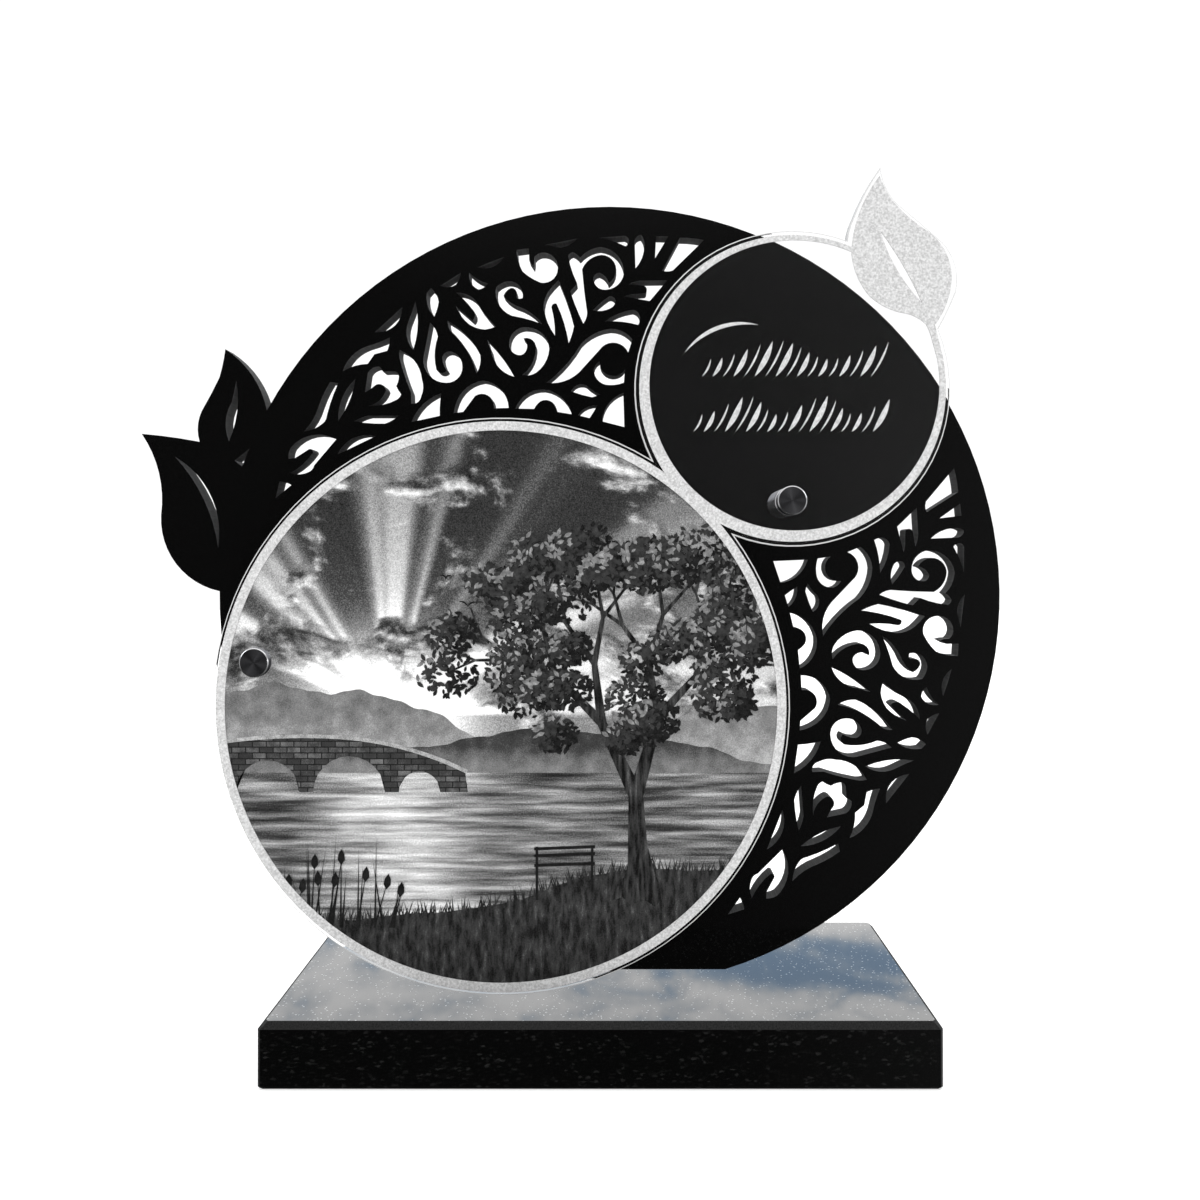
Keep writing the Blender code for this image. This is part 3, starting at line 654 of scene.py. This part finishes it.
rays = add_node(tree, "ShaderNodeMapRange", SMOOTH_STEP,
                {"Value": ray_noise, "From Min": 0.42, "From Max": 0.64, "To Min": 0.0, "To Max": 0.66})
ray_fade = add_node(tree, "ShaderNodeMapRange", SMOOTH_STEP,
                    {"Value": distance, "From Min": 0.15, "From Max": 1.75, "To Min": 1.0, "To Max": 0.45})
ray_light = add_node(tree, "ShaderNodeMath", {"operation": "MULTIPLY"}, {0: rays, 1: ray_fade})
height_tone = add_node(tree, "ShaderNodeMapRange", SMOOTH_STEP,
                       {"Value": height, "From Min": HORIZON, "From Max": 0.75,
                        "To Min": 0.55, "To Max": 0.14})
glow = add_node(tree, "ShaderNodeMapRange", {"interpolation_type": "SMOOTHERSTEP"},
                {"Value": distance, "From Min": 0.0, "From Max": 0.50, "To Min": 0.75, "To Max": 0.0})
clear_air = add_node(tree, "ShaderNodeMath", {"operation": "ADD"}, {0: height_tone, 1: ray_light})
clear_sky = add_node(tree, "ShaderNodeMath", {"operation": "ADD"}, {0: clear_air, 1: glow})
cloud_settings = {"Scale": 1.0, "Detail": 9.0, "Roughness": 0.56, "Distortion": 0.35}
cloud_place = add_node(tree, "ShaderNodeMapping", None,
                       {"Vector": place, "Location": (3.1, 0.0, 1.7), "Scale": (2.6, 1.0, 4.4)})
towards = add_node(tree, "ShaderNodeVectorMath", {"operation": "NORMALIZE"}, {0: from_sun})
shift = add_node(tree, "ShaderNodeVectorMath", {"operation": "SCALE"}, {0: towards, "Scale": 0.10})
lit_place = add_node(tree, "ShaderNodeVectorMath", {"operation": "SUBTRACT"}, {0: cloud_place, 1: shift})
cloud_here = add_node(tree, "ShaderNodeTexNoise", None, {"Vector": cloud_place, **cloud_settings})
cloud_sunward = add_node(tree, "ShaderNodeTexNoise", None, {"Vector": lit_place, **cloud_settings})
cloud_mask = add_node(tree, "ShaderNodeMapRange", SMOOTH_STEP,
                      {"Value": cloud_here, "From Min": 0.50, "From Max": 0.60, "To Min": 0.0, "To Max": 1.0})
cloud_thin = add_node(tree, "ShaderNodeMath", {"operation": "SUBTRACT"}, {0: cloud_here, 1: cloud_sunward})
cloud_tone = add_node(tree, "ShaderNodeMapRange", None,
                      {"Value": cloud_thin, "From Min": -0.06, "From Max": 0.10,
                       "To Min": 0.10, "To Max": 0.95})
sky_tone = add_node(tree, "ShaderNodeMix", {"data_type": "FLOAT"},
                    {"Factor": cloud_mask, "A": clear_sky, "B": cloud_tone})
finish_ink(tree, shader, sky_tone)
print_layer("picture_sky", [circle_outline(SKY_DISC, SKY_SIDES)], ink, 0)


RIDGE_POINTS = 140
RIDGE_OCTAVES = 6
BROADEST_WAVE = 1.3


def ridge_line(level, height, seed):
    """The skyline of a range of hills from left to right, as a sum of waves that halve in height."""
    draw = random.Random(seed)
    waves = [(2 ** octave * BROADEST_WAVE, draw.uniform(0, 6.3), height * 0.5 ** octave)
             for octave in range(RIDGE_OCTAVES)]
    line = []
    for count in range(RIDGE_POINTS + 1):
        x = -PICTURE_EDGE + 2 * PICTURE_EDGE * count / RIDGE_POINTS
        line.append((x, level + sum(size * math.sin(rate * x * 2 + phase) for rate, phase, size in waves)))
    return line


def ground_strip(name, line, floor_level, ink, order):
    """Prints all that lies under a skyline, down to a level, as a strip of upright sides."""
    form = bmesh.new()
    front = panel_low.y - LAYER_STEP * (order + 1)
    columns = [[form.verts.new(on_print(x, front, level)) for level in (floor_level, z)] for x, z in line]
    for (low, top), (next_low, next_top) in zip(columns, columns[1:]):
        form.faces.new((low, next_low, next_top, top))
    close_print(name, form, ink, clip=True)


# Hill inks: pale with haze for the far range and darker for the near one, each paler towards its foot.
for order, (name, level, height, seed, top_tone, foot_tone) in enumerate([
        ("far_hills", -0.02, 0.075, 5, 0.42, 0.62), ("near_hills", -0.14, 0.045, 8, 0.20, 0.44)]):
    ink, tree, shader, place = printed_ink("printed_" + name)
    above = add_node(tree, "ShaderNodeSeparateXYZ", None, {0: place}).outputs["Z"]
    haze = add_node(tree, "ShaderNodeMapRange", SMOOTH_STEP,
                    {"Value": above, "From Min": HORIZON, "From Max": level + height,
                     "To Min": foot_tone, "To Max": top_tone})
    woods = add_node(tree, "ShaderNodeTexNoise", None, {"Vector": place, "Scale": 16.0, "Detail": 6.0})
    woods_tone = add_node(tree, "ShaderNodeMapRange", None,
                          {"Value": woods, "From Min": 0.3, "From Max": 0.7, "To Min": -0.09, "To Max": 0.09})
    hill_tone = add_node(tree, "ShaderNodeMath", {"operation": "ADD"}, {0: haze, 1: woods_tone})
    finish_ink(tree, shader, hill_tone, 0.10)
    ground_strip("picture_" + name, ridge_line(level, height, seed), HILL_FOOT, ink, order + 1)

# Lake ink: long level streaks, brightest in a path under the sun.
GLITTER_MIDDLE = SUN[0] + 0.04
ink, tree, shader, place = printed_ink("printed_lake")
ripple_place = add_node(tree, "ShaderNodeMapping", None, {"Vector": place, "Scale": (3.0, 1.0, 42.0)})
ripples = add_node(tree, "ShaderNodeTexNoise", None, {"Vector": ripple_place, "Scale": 1.0, "Detail": 5.0})
across = add_node(tree, "ShaderNodeSeparateXYZ", None, {0: place}).outputs["X"]
off_path = add_node(tree, "ShaderNodeMath", {"operation": "SUBTRACT"}, {0: across, 1: GLITTER_MIDDLE})
path_side = add_node(tree, "ShaderNodeMath", {"operation": "ABSOLUTE"}, {0: off_path})
path_light = add_node(tree, "ShaderNodeMapRange", SMOOTH_STEP,
                      {"Value": path_side, "From Min": 0.0, "From Max": 0.45, "To Min": 0.75, "To Max": 0.40})
ripple_swing = add_node(tree, "ShaderNodeMapRange", None,
                        {"Value": ripples, "From Min": 0.3, "From Max": 0.7, "To Min": -0.32, "To Max": 0.30})
lake_tone = add_node(tree, "ShaderNodeMath", {"operation": "ADD"}, {0: path_light, 1: ripple_swing})
finish_ink(tree, shader, lake_tone)
lake = [(-PICTURE_EDGE, -PICTURE_EDGE), (PICTURE_EDGE, -PICTURE_EDGE), (PICTURE_EDGE, HORIZON),
        (-PICTURE_EDGE, HORIZON)]
print_layer("picture_lake", [lake], ink, 3)

# Bridge ink: courses of cut stone, darker under the parapet.
ink, tree, shader, place = printed_ink("printed_bridge_stone")
parts = add_node(tree, "ShaderNodeSeparateXYZ", None, {0: place})
upright = add_node(tree, "ShaderNodeCombineXYZ", None, {"X": parts.outputs["X"], "Y": parts.outputs["Z"]})
courses = add_node(tree, "ShaderNodeTexBrick", None,
                   {"Vector": upright, "Color1": linear("#4a4a4a"), "Color2": linear("#6e6e6e"),
                    "Mortar": linear("#161616"), "Scale": 1.0, "Mortar Size": 0.0022, "Brick Width": 0.05,
                    "Row Height": 0.021})
stone_tone = add_node(tree, "ShaderNodeSeparateColor", {"mode": "HSV"}, {0: courses.outputs["Color"]})
worn = add_node(tree, "ShaderNodeTexNoise", None, {"Vector": place, "Scale": 24.0, "Detail": 5.0})
worn_tone = add_node(tree, "ShaderNodeMath", {"operation": "MULTIPLY"},
                     {0: stone_tone.outputs["Blue"], 1: worn})
bridge_tone = add_node(tree, "ShaderNodeMapRange", None,
                       {"Value": worn_tone, "From Max": 0.10, "To Min": 0.05, "To Max": 0.42})
finish_ink(tree, shader, bridge_tone, 0.08)

ARCH_FOOT = -0.31
bridge = bowed_outline([
    (-PICTURE_EDGE, ARCH_FOOT, 0), (-0.96, ARCH_FOOT, -0.115), (-0.73, ARCH_FOOT, 0),
    (-0.68, ARCH_FOOT, -0.13), (-0.42, ARCH_FOOT, 0), (-0.37, ARCH_FOOT, -0.075), (-0.22, ARCH_FOOT, 0),
    (-0.12, ARCH_FOOT, 0), (-0.13, -0.235, 0.02), (-0.55, -0.115, 0.015), (-PICTURE_EDGE, -0.135, 0)])
coping = bowed_outline([
    (-0.125, -0.243, 0.02), (-0.55, -0.121, 0.015), (-PICTURE_EDGE, -0.141, 0),
    (-PICTURE_EDGE, -0.127, -0.015), (-0.55, -0.107, -0.02), (-0.12, -0.229, 0)])
print_layer("picture_bridge", [bridge], ink, 4)


def patterned_ink(name, pattern, tones, grain, stretch=(1.0, 1.0, 1.0)):
    """An ink with one noise pattern, stretched along the picture's axes and turned to a range of tones."""
    material, tree, shader, place = printed_ink(name)
    spread = add_node(tree, "ShaderNodeMapping", None, {"Vector": place, "Scale": stretch})
    noise = add_node(tree, "ShaderNodeTexNoise", None, {"Vector": spread, "Scale": 1.0, **pattern})
    finish_ink(tree, shader, add_node(tree, "ShaderNodeMapRange", None, {"Value": noise, **tones}), grain)
    return material


# Coping ink: the light edge of the parapet's top course.
pale_stone = patterned_ink("printed_pale_stone", {"Scale": 40.0}, {"To Min": 0.35, "To Max": 0.85}, 0.16)
print_layer("picture_bridge_coping", [coping[::-1]], pale_stone, 5)

# Bank ink: dark turf that takes a little light on its humps.
turf = patterned_ink("printed_turf", {"Detail": 5.0, "Roughness": 0.6},
                     {"From Min": 0.4, "From Max": 0.72, "To Min": 0.05, "To Max": 0.36}, 0.08,
                     (46.0, 1.0, 13.0))

# The bank is low at the left and rises to the right about its middle.
BANK_LEVEL = -0.77
BANK_ROUGHNESS = 0.02
BANK_RISE = 0.17
BANK_MIDDLE = 0.12
BANK_STEEPNESS = 7
BLADES = 520
BLADE_HALF_WIDTH = 0.0032
BLADE_SPREAD = 0.012
BLADE_SINK = 0.02
BLADE_HEIGHT = (0.02, 0.062)
BLADE_LEAN = (-0.35, 0.5)
bank_line = [(x, z + BANK_RISE / (1 + math.exp(-BANK_STEEPNESS * (x - BANK_MIDDLE))))
             for x, z in ridge_line(BANK_LEVEL, BANK_ROUGHNESS, 21)]
grass = random.Random(3)
blades = []
for _ in range(BLADES):
    foot_x, foot_z = bank_line[grass.randrange(1, len(bank_line) - 1)]
    foot_x += grass.uniform(-BLADE_SPREAD, BLADE_SPREAD)
    foot_z -= grass.uniform(0.0, BLADE_SINK)
    tall = grass.uniform(*BLADE_HEIGHT)
    lean = grass.uniform(*BLADE_LEAN) * tall
    blades.append([(foot_x - BLADE_HALF_WIDTH, foot_z), (foot_x + BLADE_HALF_WIDTH, foot_z),
                   (foot_x + lean, foot_z + tall)])
ground_strip("picture_bank", bank_line, -PICTURE_EDGE, turf, 6)
print_layer("picture_grass", blades, turf, 7)

# The tree, its branches drawn by halving: each fork is shorter and thinner than the last.
# Bark ink: dark, with upright furrows.
bark = patterned_ink("printed_bark", {"Detail": 4.0},
                     {"From Min": 0.4, "From Max": 0.7, "To Min": 0.02, "To Max": 0.34}, 0.06,
                     (60.0, 1.0, 9.0))

TREE_FOOT = (0.50, -0.66)
TRUNK_HEADING = math.radians(92)
TRUNK_LENGTH = 0.34
TRUNK_WIDTH = 0.085
LIMB_TAPER = 0.62
LIMB_THINNING = 0.64
LIMB_SHORTENING = (0.72, 0.86)
FORK_TURN = (0.25, 0.55)
FORKINGS = 5
ROOTS = [(0.39, -0.705), (0.44, -0.69), (0.47, -0.72), (0.51, -0.695), (0.56, -0.725), (0.585, -0.69),
         (0.555, -0.60), (0.53, -0.50), (0.47, -0.50), (0.455, -0.60)]
CROWN = (0.47, 0.24)
CROWN_REACH = (0.50, 0.46)
growth = random.Random(17)
limbs = []
twig_ends = []


def grow(x, z, heading, length, width, forks):
    """Adds one limb and those that fork from it, down to the twigs."""
    tip_x = x + length * math.cos(heading)
    tip_z = z + length * math.sin(heading)
    side_x, side_z = -math.sin(heading) * width / 2, math.cos(heading) * width / 2
    limbs.append([(x + side_x, z + side_z), (x - side_x, z - side_z),
                  (tip_x - side_x * LIMB_TAPER, tip_z - side_z * LIMB_TAPER),
                  (tip_x + side_x * LIMB_TAPER, tip_z + side_z * LIMB_TAPER)])
    if forks == 0:
        twig_ends.append((tip_x, tip_z))
        return
    least, most = FORK_TURN
    for turn in (growth.uniform(least, most), growth.uniform(-most, -least)):
        grow(tip_x, tip_z, heading + turn, length * growth.uniform(*LIMB_SHORTENING),
             width * LIMB_THINNING, forks - 1)


grow(*TREE_FOOT, TRUNK_HEADING, TRUNK_LENGTH, TRUNK_WIDTH, FORKINGS)
limbs.append(ROOTS)
print_layer("picture_tree_limbs", limbs, bark, 8)


def leaf_shape(x, z, heading, length):
    """A pointed oval leaf of six corners, anticlockwise."""
    ahead = Vector((math.cos(heading), math.sin(heading))) * length / 2
    aside = Vector((-ahead.y, ahead.x)) * 0.45
    centre = Vector((x, z))
    return [tuple(centre + ahead * along + aside * across) for along, across in
            ((-1, 0), (-0.35, -1), (0.35, -0.85), (1, 0), (0.35, 0.85), (-0.35, 1))]


# Leaf inks: three greys, each a little patchy, for the shaded, half-lit and lit leaves of a clump.
LEAF_TONES = {"dark": (0.01, 0.09), "middle": (0.08, 0.24), "light": (0.30, 0.60)}
leaf_inks = {name: patterned_ink("printed_" + name + "_leaf", {"Scale": 45.0, "Detail": 2.0},
                                 {"From Min": 0.3, "From Max": 0.7, "To Min": low, "To Max": high}, 0.05)
             for name, (low, high) in LEAF_TONES.items()}

ADDED_CLUMPS = 34
CLUMP_LEAVES = 150
CLUMP_SIZE = (0.07, 0.13)
CLUMP_FLATNESS = 0.8
CLUMP_LIGHT_FROM = math.radians(150)
LIT_ABOVE = 0.84
HALF_LIT_ABOVE = 0.10
LIGHT_SCATTER = 0.45
LEAF_LENGTH = (0.020, 0.034)
LEAF_MARGIN = 0.0012
clumps = twig_ends[::2]
for _ in range(ADDED_CLUMPS):
    bearing = growth.uniform(0, 2 * math.pi)
    reach = math.sqrt(growth.uniform(0, 1))
    clumps.append((CROWN[0] + CROWN_REACH[0] * reach * math.cos(bearing),
                   CROWN[1] + CROWN_REACH[1] * reach * math.sin(bearing)))
leaves = {name: [] for name in LEAF_TONES}
for clump_x, clump_z in clumps:
    size = growth.uniform(*CLUMP_SIZE)
    for _ in range(CLUMP_LEAVES):
        bearing = growth.uniform(0, 2 * math.pi)
        reach = math.sqrt(growth.uniform(0, 1))
        x = clump_x + size * reach * math.cos(bearing)
        z = clump_z + size * CLUMP_FLATNESS * reach * math.sin(bearing)
        if math.hypot(x, z) * PICTURE_RADIUS > PRINT_RADIUS - LEAF_MARGIN:
            continue
        lit = reach * math.cos(bearing - CLUMP_LIGHT_FROM) + growth.uniform(-LIGHT_SCATTER, LIGHT_SCATTER)
        tone = "light" if lit > LIT_ABOVE else "middle" if lit > HALF_LIT_ABOVE else "dark"
        leaves[tone].append(leaf_shape(x, z, growth.uniform(0, 2 * math.pi), growth.uniform(*LEAF_LENGTH)))
for order, (name, shapes) in enumerate(leaves.items()):
    print_layer("picture_leaves_" + name, shapes, leaf_inks[name], 9 + order, clip=False)

# A bench under the tree, reeds at the water and a few birds, all in plain black ink.
black = patterned_ink("printed_black", {"Scale": 30.0}, {"To Min": 0.0, "To Max": 0.10}, 0.04)


def bar(x0, z0, x1, z1, width):
    """A straight bar between two points."""
    aside = Vector((z0 - z1, x1 - x0)).normalized() * width / 2
    return [(x0 + aside.x, z0 + aside.y), (x0 - aside.x, z0 - aside.y),
            (x1 - aside.x, z1 - aside.y), (x1 + aside.x, z1 + aside.y)]


# The bench's slats by their heights, and its two legs by their places along it and how far down they reach.
BENCH = (0.10, -0.625)
BENCH_SLATS = (0.05, 0.085, 0.11)
BENCH_LEGS = ((0.03, 0.075), (0.23, 0.045))
SLAT_ENDS = (0.02, 0.24)
SLAT_SLOPE = 0.008
SLAT_WIDTH = 0.011
LEG_TOP = 0.118
LEG_WIDTH = 0.009
small_things = [bar(BENCH[0] + SLAT_ENDS[0], BENCH[1] + rise, BENCH[0] + SLAT_ENDS[1],
                    BENCH[1] + rise + SLAT_SLOPE, SLAT_WIDTH) for rise in BENCH_SLATS]
small_things += [bar(BENCH[0] + along, BENCH[1] - deep, BENCH[0] + along, BENCH[1] + LEG_TOP, LEG_WIDTH)
                 for along, deep in BENCH_LEGS]

REEDS = 26
REED_FOOT = -0.80
REED_SHORE = (-0.80, -0.34)
REED_HEIGHT = (0.16, 0.34)
REED_LEAN = (-0.05, 0.06)
REED_HALF_WIDTH = 0.004
REED_HEAD_PLACE = 0.84
REED_HEAD_LENGTH = 0.058
for count in range(REEDS):
    foot_x = grass.uniform(*REED_SHORE)
    tall = grass.uniform(*REED_HEIGHT)
    lean = grass.uniform(*REED_LEAN)
    small_things.append([(foot_x - REED_HALF_WIDTH, REED_FOOT), (foot_x + REED_HALF_WIDTH, REED_FOOT),
                         (foot_x + lean, REED_FOOT + tall)])
    if count % 3 == 0:
        small_things.append(leaf_shape(foot_x + lean * REED_HEAD_PLACE, REED_FOOT + tall * REED_HEAD_PLACE,
                                       math.radians(90 - lean * 150), REED_HEAD_LENGTH))

# Each bird is a place and a span, drawn as two bowed wings.
BIRDS = ((-0.12, 0.36, 0.07), (-0.02, 0.43, 0.05), (-0.20, 0.46, 0.045), (0.02, 0.31, 0.04))
for bird_x, bird_z, span in BIRDS:
    small_things.append(bowed_outline([
        (bird_x, bird_z, -0.006), (bird_x + span / 2, bird_z + span * 0.22, 0.012)], 6))
    small_things.append(bowed_outline([
        (bird_x, bird_z, 0.012), (bird_x - span / 2, bird_z + span * 0.26, -0.006)], 6))
print_layer("picture_bench_reeds_and_birds", small_things, black, 12)

# Standoffs
# Two turned aluminium standoffs, anodised black. Each barrel stands on the plate and each cap's stud runs
# through the panel into it. The cap's rim was faced after anodising, so it is a thin bright line.
TURNED_STEPS = 96
CAP_THICKNESS = 0.0045
CAP_RIM = 0.0004
CAP_BACK_RIM = CAP_RIM * 0.6
FACE_DISH = 0.00015
STUD_RADIUS = 0.003
STUD_EDGE = 0.0004
BORE_CLEARANCE = 0.0003
BORE_DEPTH = 0.0096
NECK_DEPTH = 0.0006
NECK_PLACE = 0.0011
NECK_LENGTH = 0.0009
BARREL_EDGE = 0.0004

# Tool marks run in rings too fine to show one by one. The map has more lengths to a metre across a face than
# along the barrel, so the marks are drawn out there.
TOOL_MARKS_PER_MM = 48
PATCHES_AROUND = 8
MAP_ACROSS = 100
MAP_ALONG = 10


def turned_piece(name, centre, profile, materials):
    """Spins a profile of radius, depth and material number round a standoff's axis."""
    form = bmesh.new()
    points = [form.verts.new((centre.x + radius, depth, centre.z)) for radius, depth, _ in profile]
    edges = [form.edges.new(pair) for pair in zip(points, points[1:])]
    bmesh.ops.spin(form, geom=points + edges, cent=centre, axis=(0, 1, 0), angle=2 * math.pi,
                   steps=TURNED_STEPS, use_merge=True)
    bmesh.ops.remove_doubles(form, verts=form.verts, dist=MERGE_DISTANCE)
    bmesh.ops.recalc_face_normals(form, faces=form.faces)
    around = form.loops.layers.uv.new("around")
    bounds = [(first[:2], second[:2], first[2]) for first, second in zip(profile, profile[1:])]
    for face in form.faces:
        middle = face.calc_center_median()
        turn = math.atan2(middle.z - centre.z, middle.x - centre.x)
        radii = [math.hypot(vert.co.x - centre.x, vert.co.z - centre.z) for vert in face.verts]
        spot = ((min(radii) + max(radii)) / 2, middle.y)
        face.material_index = min(bounds, key=lambda part: math.hypot(
            (part[0][0] + part[1][0]) / 2 - spot[0], (part[0][1] + part[1][1]) / 2 - spot[1]))[2]
        for loop in face.loops:
            angle = math.atan2(loop.vert.co.z - centre.z, loop.vert.co.x - centre.x)
            radius = math.hypot(loop.vert.co.z - centre.z, loop.vert.co.x - centre.x)
            off_axis = radius > MERGE_DISTANCE
            near = turn + (angle - turn + math.pi) % (2 * math.pi) - math.pi if off_axis else turn
            loop[around].uv = (near / (2 * math.pi), radius * MAP_ACROSS + loop.vert.co.y * MAP_ALONG)
    piece = finished_piece(name, form, materials, is_round=lambda face: True)
    piece.visible_glossy = False
    return piece


# Anodised aluminium, turned: black, with rings of tool marks that spread a highlight across them.
anodised, tree, shader = new_material("black_anodised_turned_aluminium")
tangent = add_node(tree, "ShaderNodeTangent", {"direction_type": "UV_MAP", "uv_map": "around"})
uv = add_node(tree, "ShaderNodeUVMap", {"uv_map": "around"})
ring_stretch = 1000 * TOOL_MARKS_PER_MM / (MAP_ACROSS * PATCHES_AROUND)
ring_place = add_node(tree, "ShaderNodeMapping", None, {"Vector": uv, "Scale": (1.0, ring_stretch, 1.0)})
rings_noise = add_node(tree, "ShaderNodeTexNoise", None,
                       {"Vector": ring_place, "Scale": PATCHES_AROUND, "Detail": 2.0})
ring_roughness = add_node(tree, "ShaderNodeMapRange", None,
                          {"Value": rings_noise, "To Min": 0.36, "To Max": 0.46})
feed(tree, shader, {"Roughness": ring_roughness, "Tangent": tangent, "Base Color": linear("#68686b"),
                    "Metallic": 1.0, "Anisotropic": 0.95, "Anisotropic Rotation": 0.25})

# Bright faced rim: bare aluminium, cut last and left shining.
bright_rim, tree, shader = new_material("faced_bright_aluminium")
feed(tree, shader, {"Base Color": linear("#d6d6d8"), "Metallic": 1.0, "Roughness": 0.18})

for side in ("left", "right"):
    cap_low, cap_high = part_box("standoff_cap_" + side)
    middle = (cap_low + cap_high) / 2
    axis = Vector((middle.x, 0, middle.z))
    radius = (cap_high.x - cap_low.x) / 2
    front = cap_low.y
    underside = front + CAP_THICKNESS
    cap_profile = [
        (0, front + FACE_DISH, 0), (radius * 0.5, front + FACE_DISH * 0.7, 0),
        (radius - CAP_RIM * 1.5, front, 1), (radius - CAP_RIM, front, 1), (radius, front + CAP_RIM, 0),
        (radius, underside - CAP_BACK_RIM, 1), (radius - CAP_BACK_RIM, underside, 0),
        (STUD_RADIUS, underside, 0), (STUD_RADIUS, cap_high.y - STUD_EDGE, 0),
        (STUD_RADIUS - STUD_EDGE, cap_high.y, 0), (0, cap_high.y, 0)]
    dress(turned_piece("standoff_cap_turned_" + side, axis, cap_profile, [anodised, bright_rim]),
          "standoff_cap_" + side)

    barrel_low, barrel_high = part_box("standoff_barrel_" + side)
    start, end = barrel_low.y, barrel_high.y
    bore = STUD_RADIUS + BORE_CLEARANCE
    neck_start = start + NECK_PLACE
    neck_end = neck_start + NECK_LENGTH
    barrel_profile = [
        (0, start + BORE_DEPTH, 0), (bore, start + BORE_DEPTH, 0), (bore, start, 0),
        (radius - BARREL_EDGE, start, 1), (radius, start + BARREL_EDGE, 0), (radius, neck_start, 0),
        (radius - NECK_DEPTH, neck_start, 0), (radius - NECK_DEPTH, neck_end, 0), (radius, neck_end, 0),
        (radius, end - BARREL_EDGE, 1), (radius - BARREL_EDGE, end, 0), (0, end, 0)]
    dress(turned_piece("standoff_barrel_turned_" + side, axis, barrel_profile, [anodised, bright_rim]),
          "standoff_barrel_" + side)
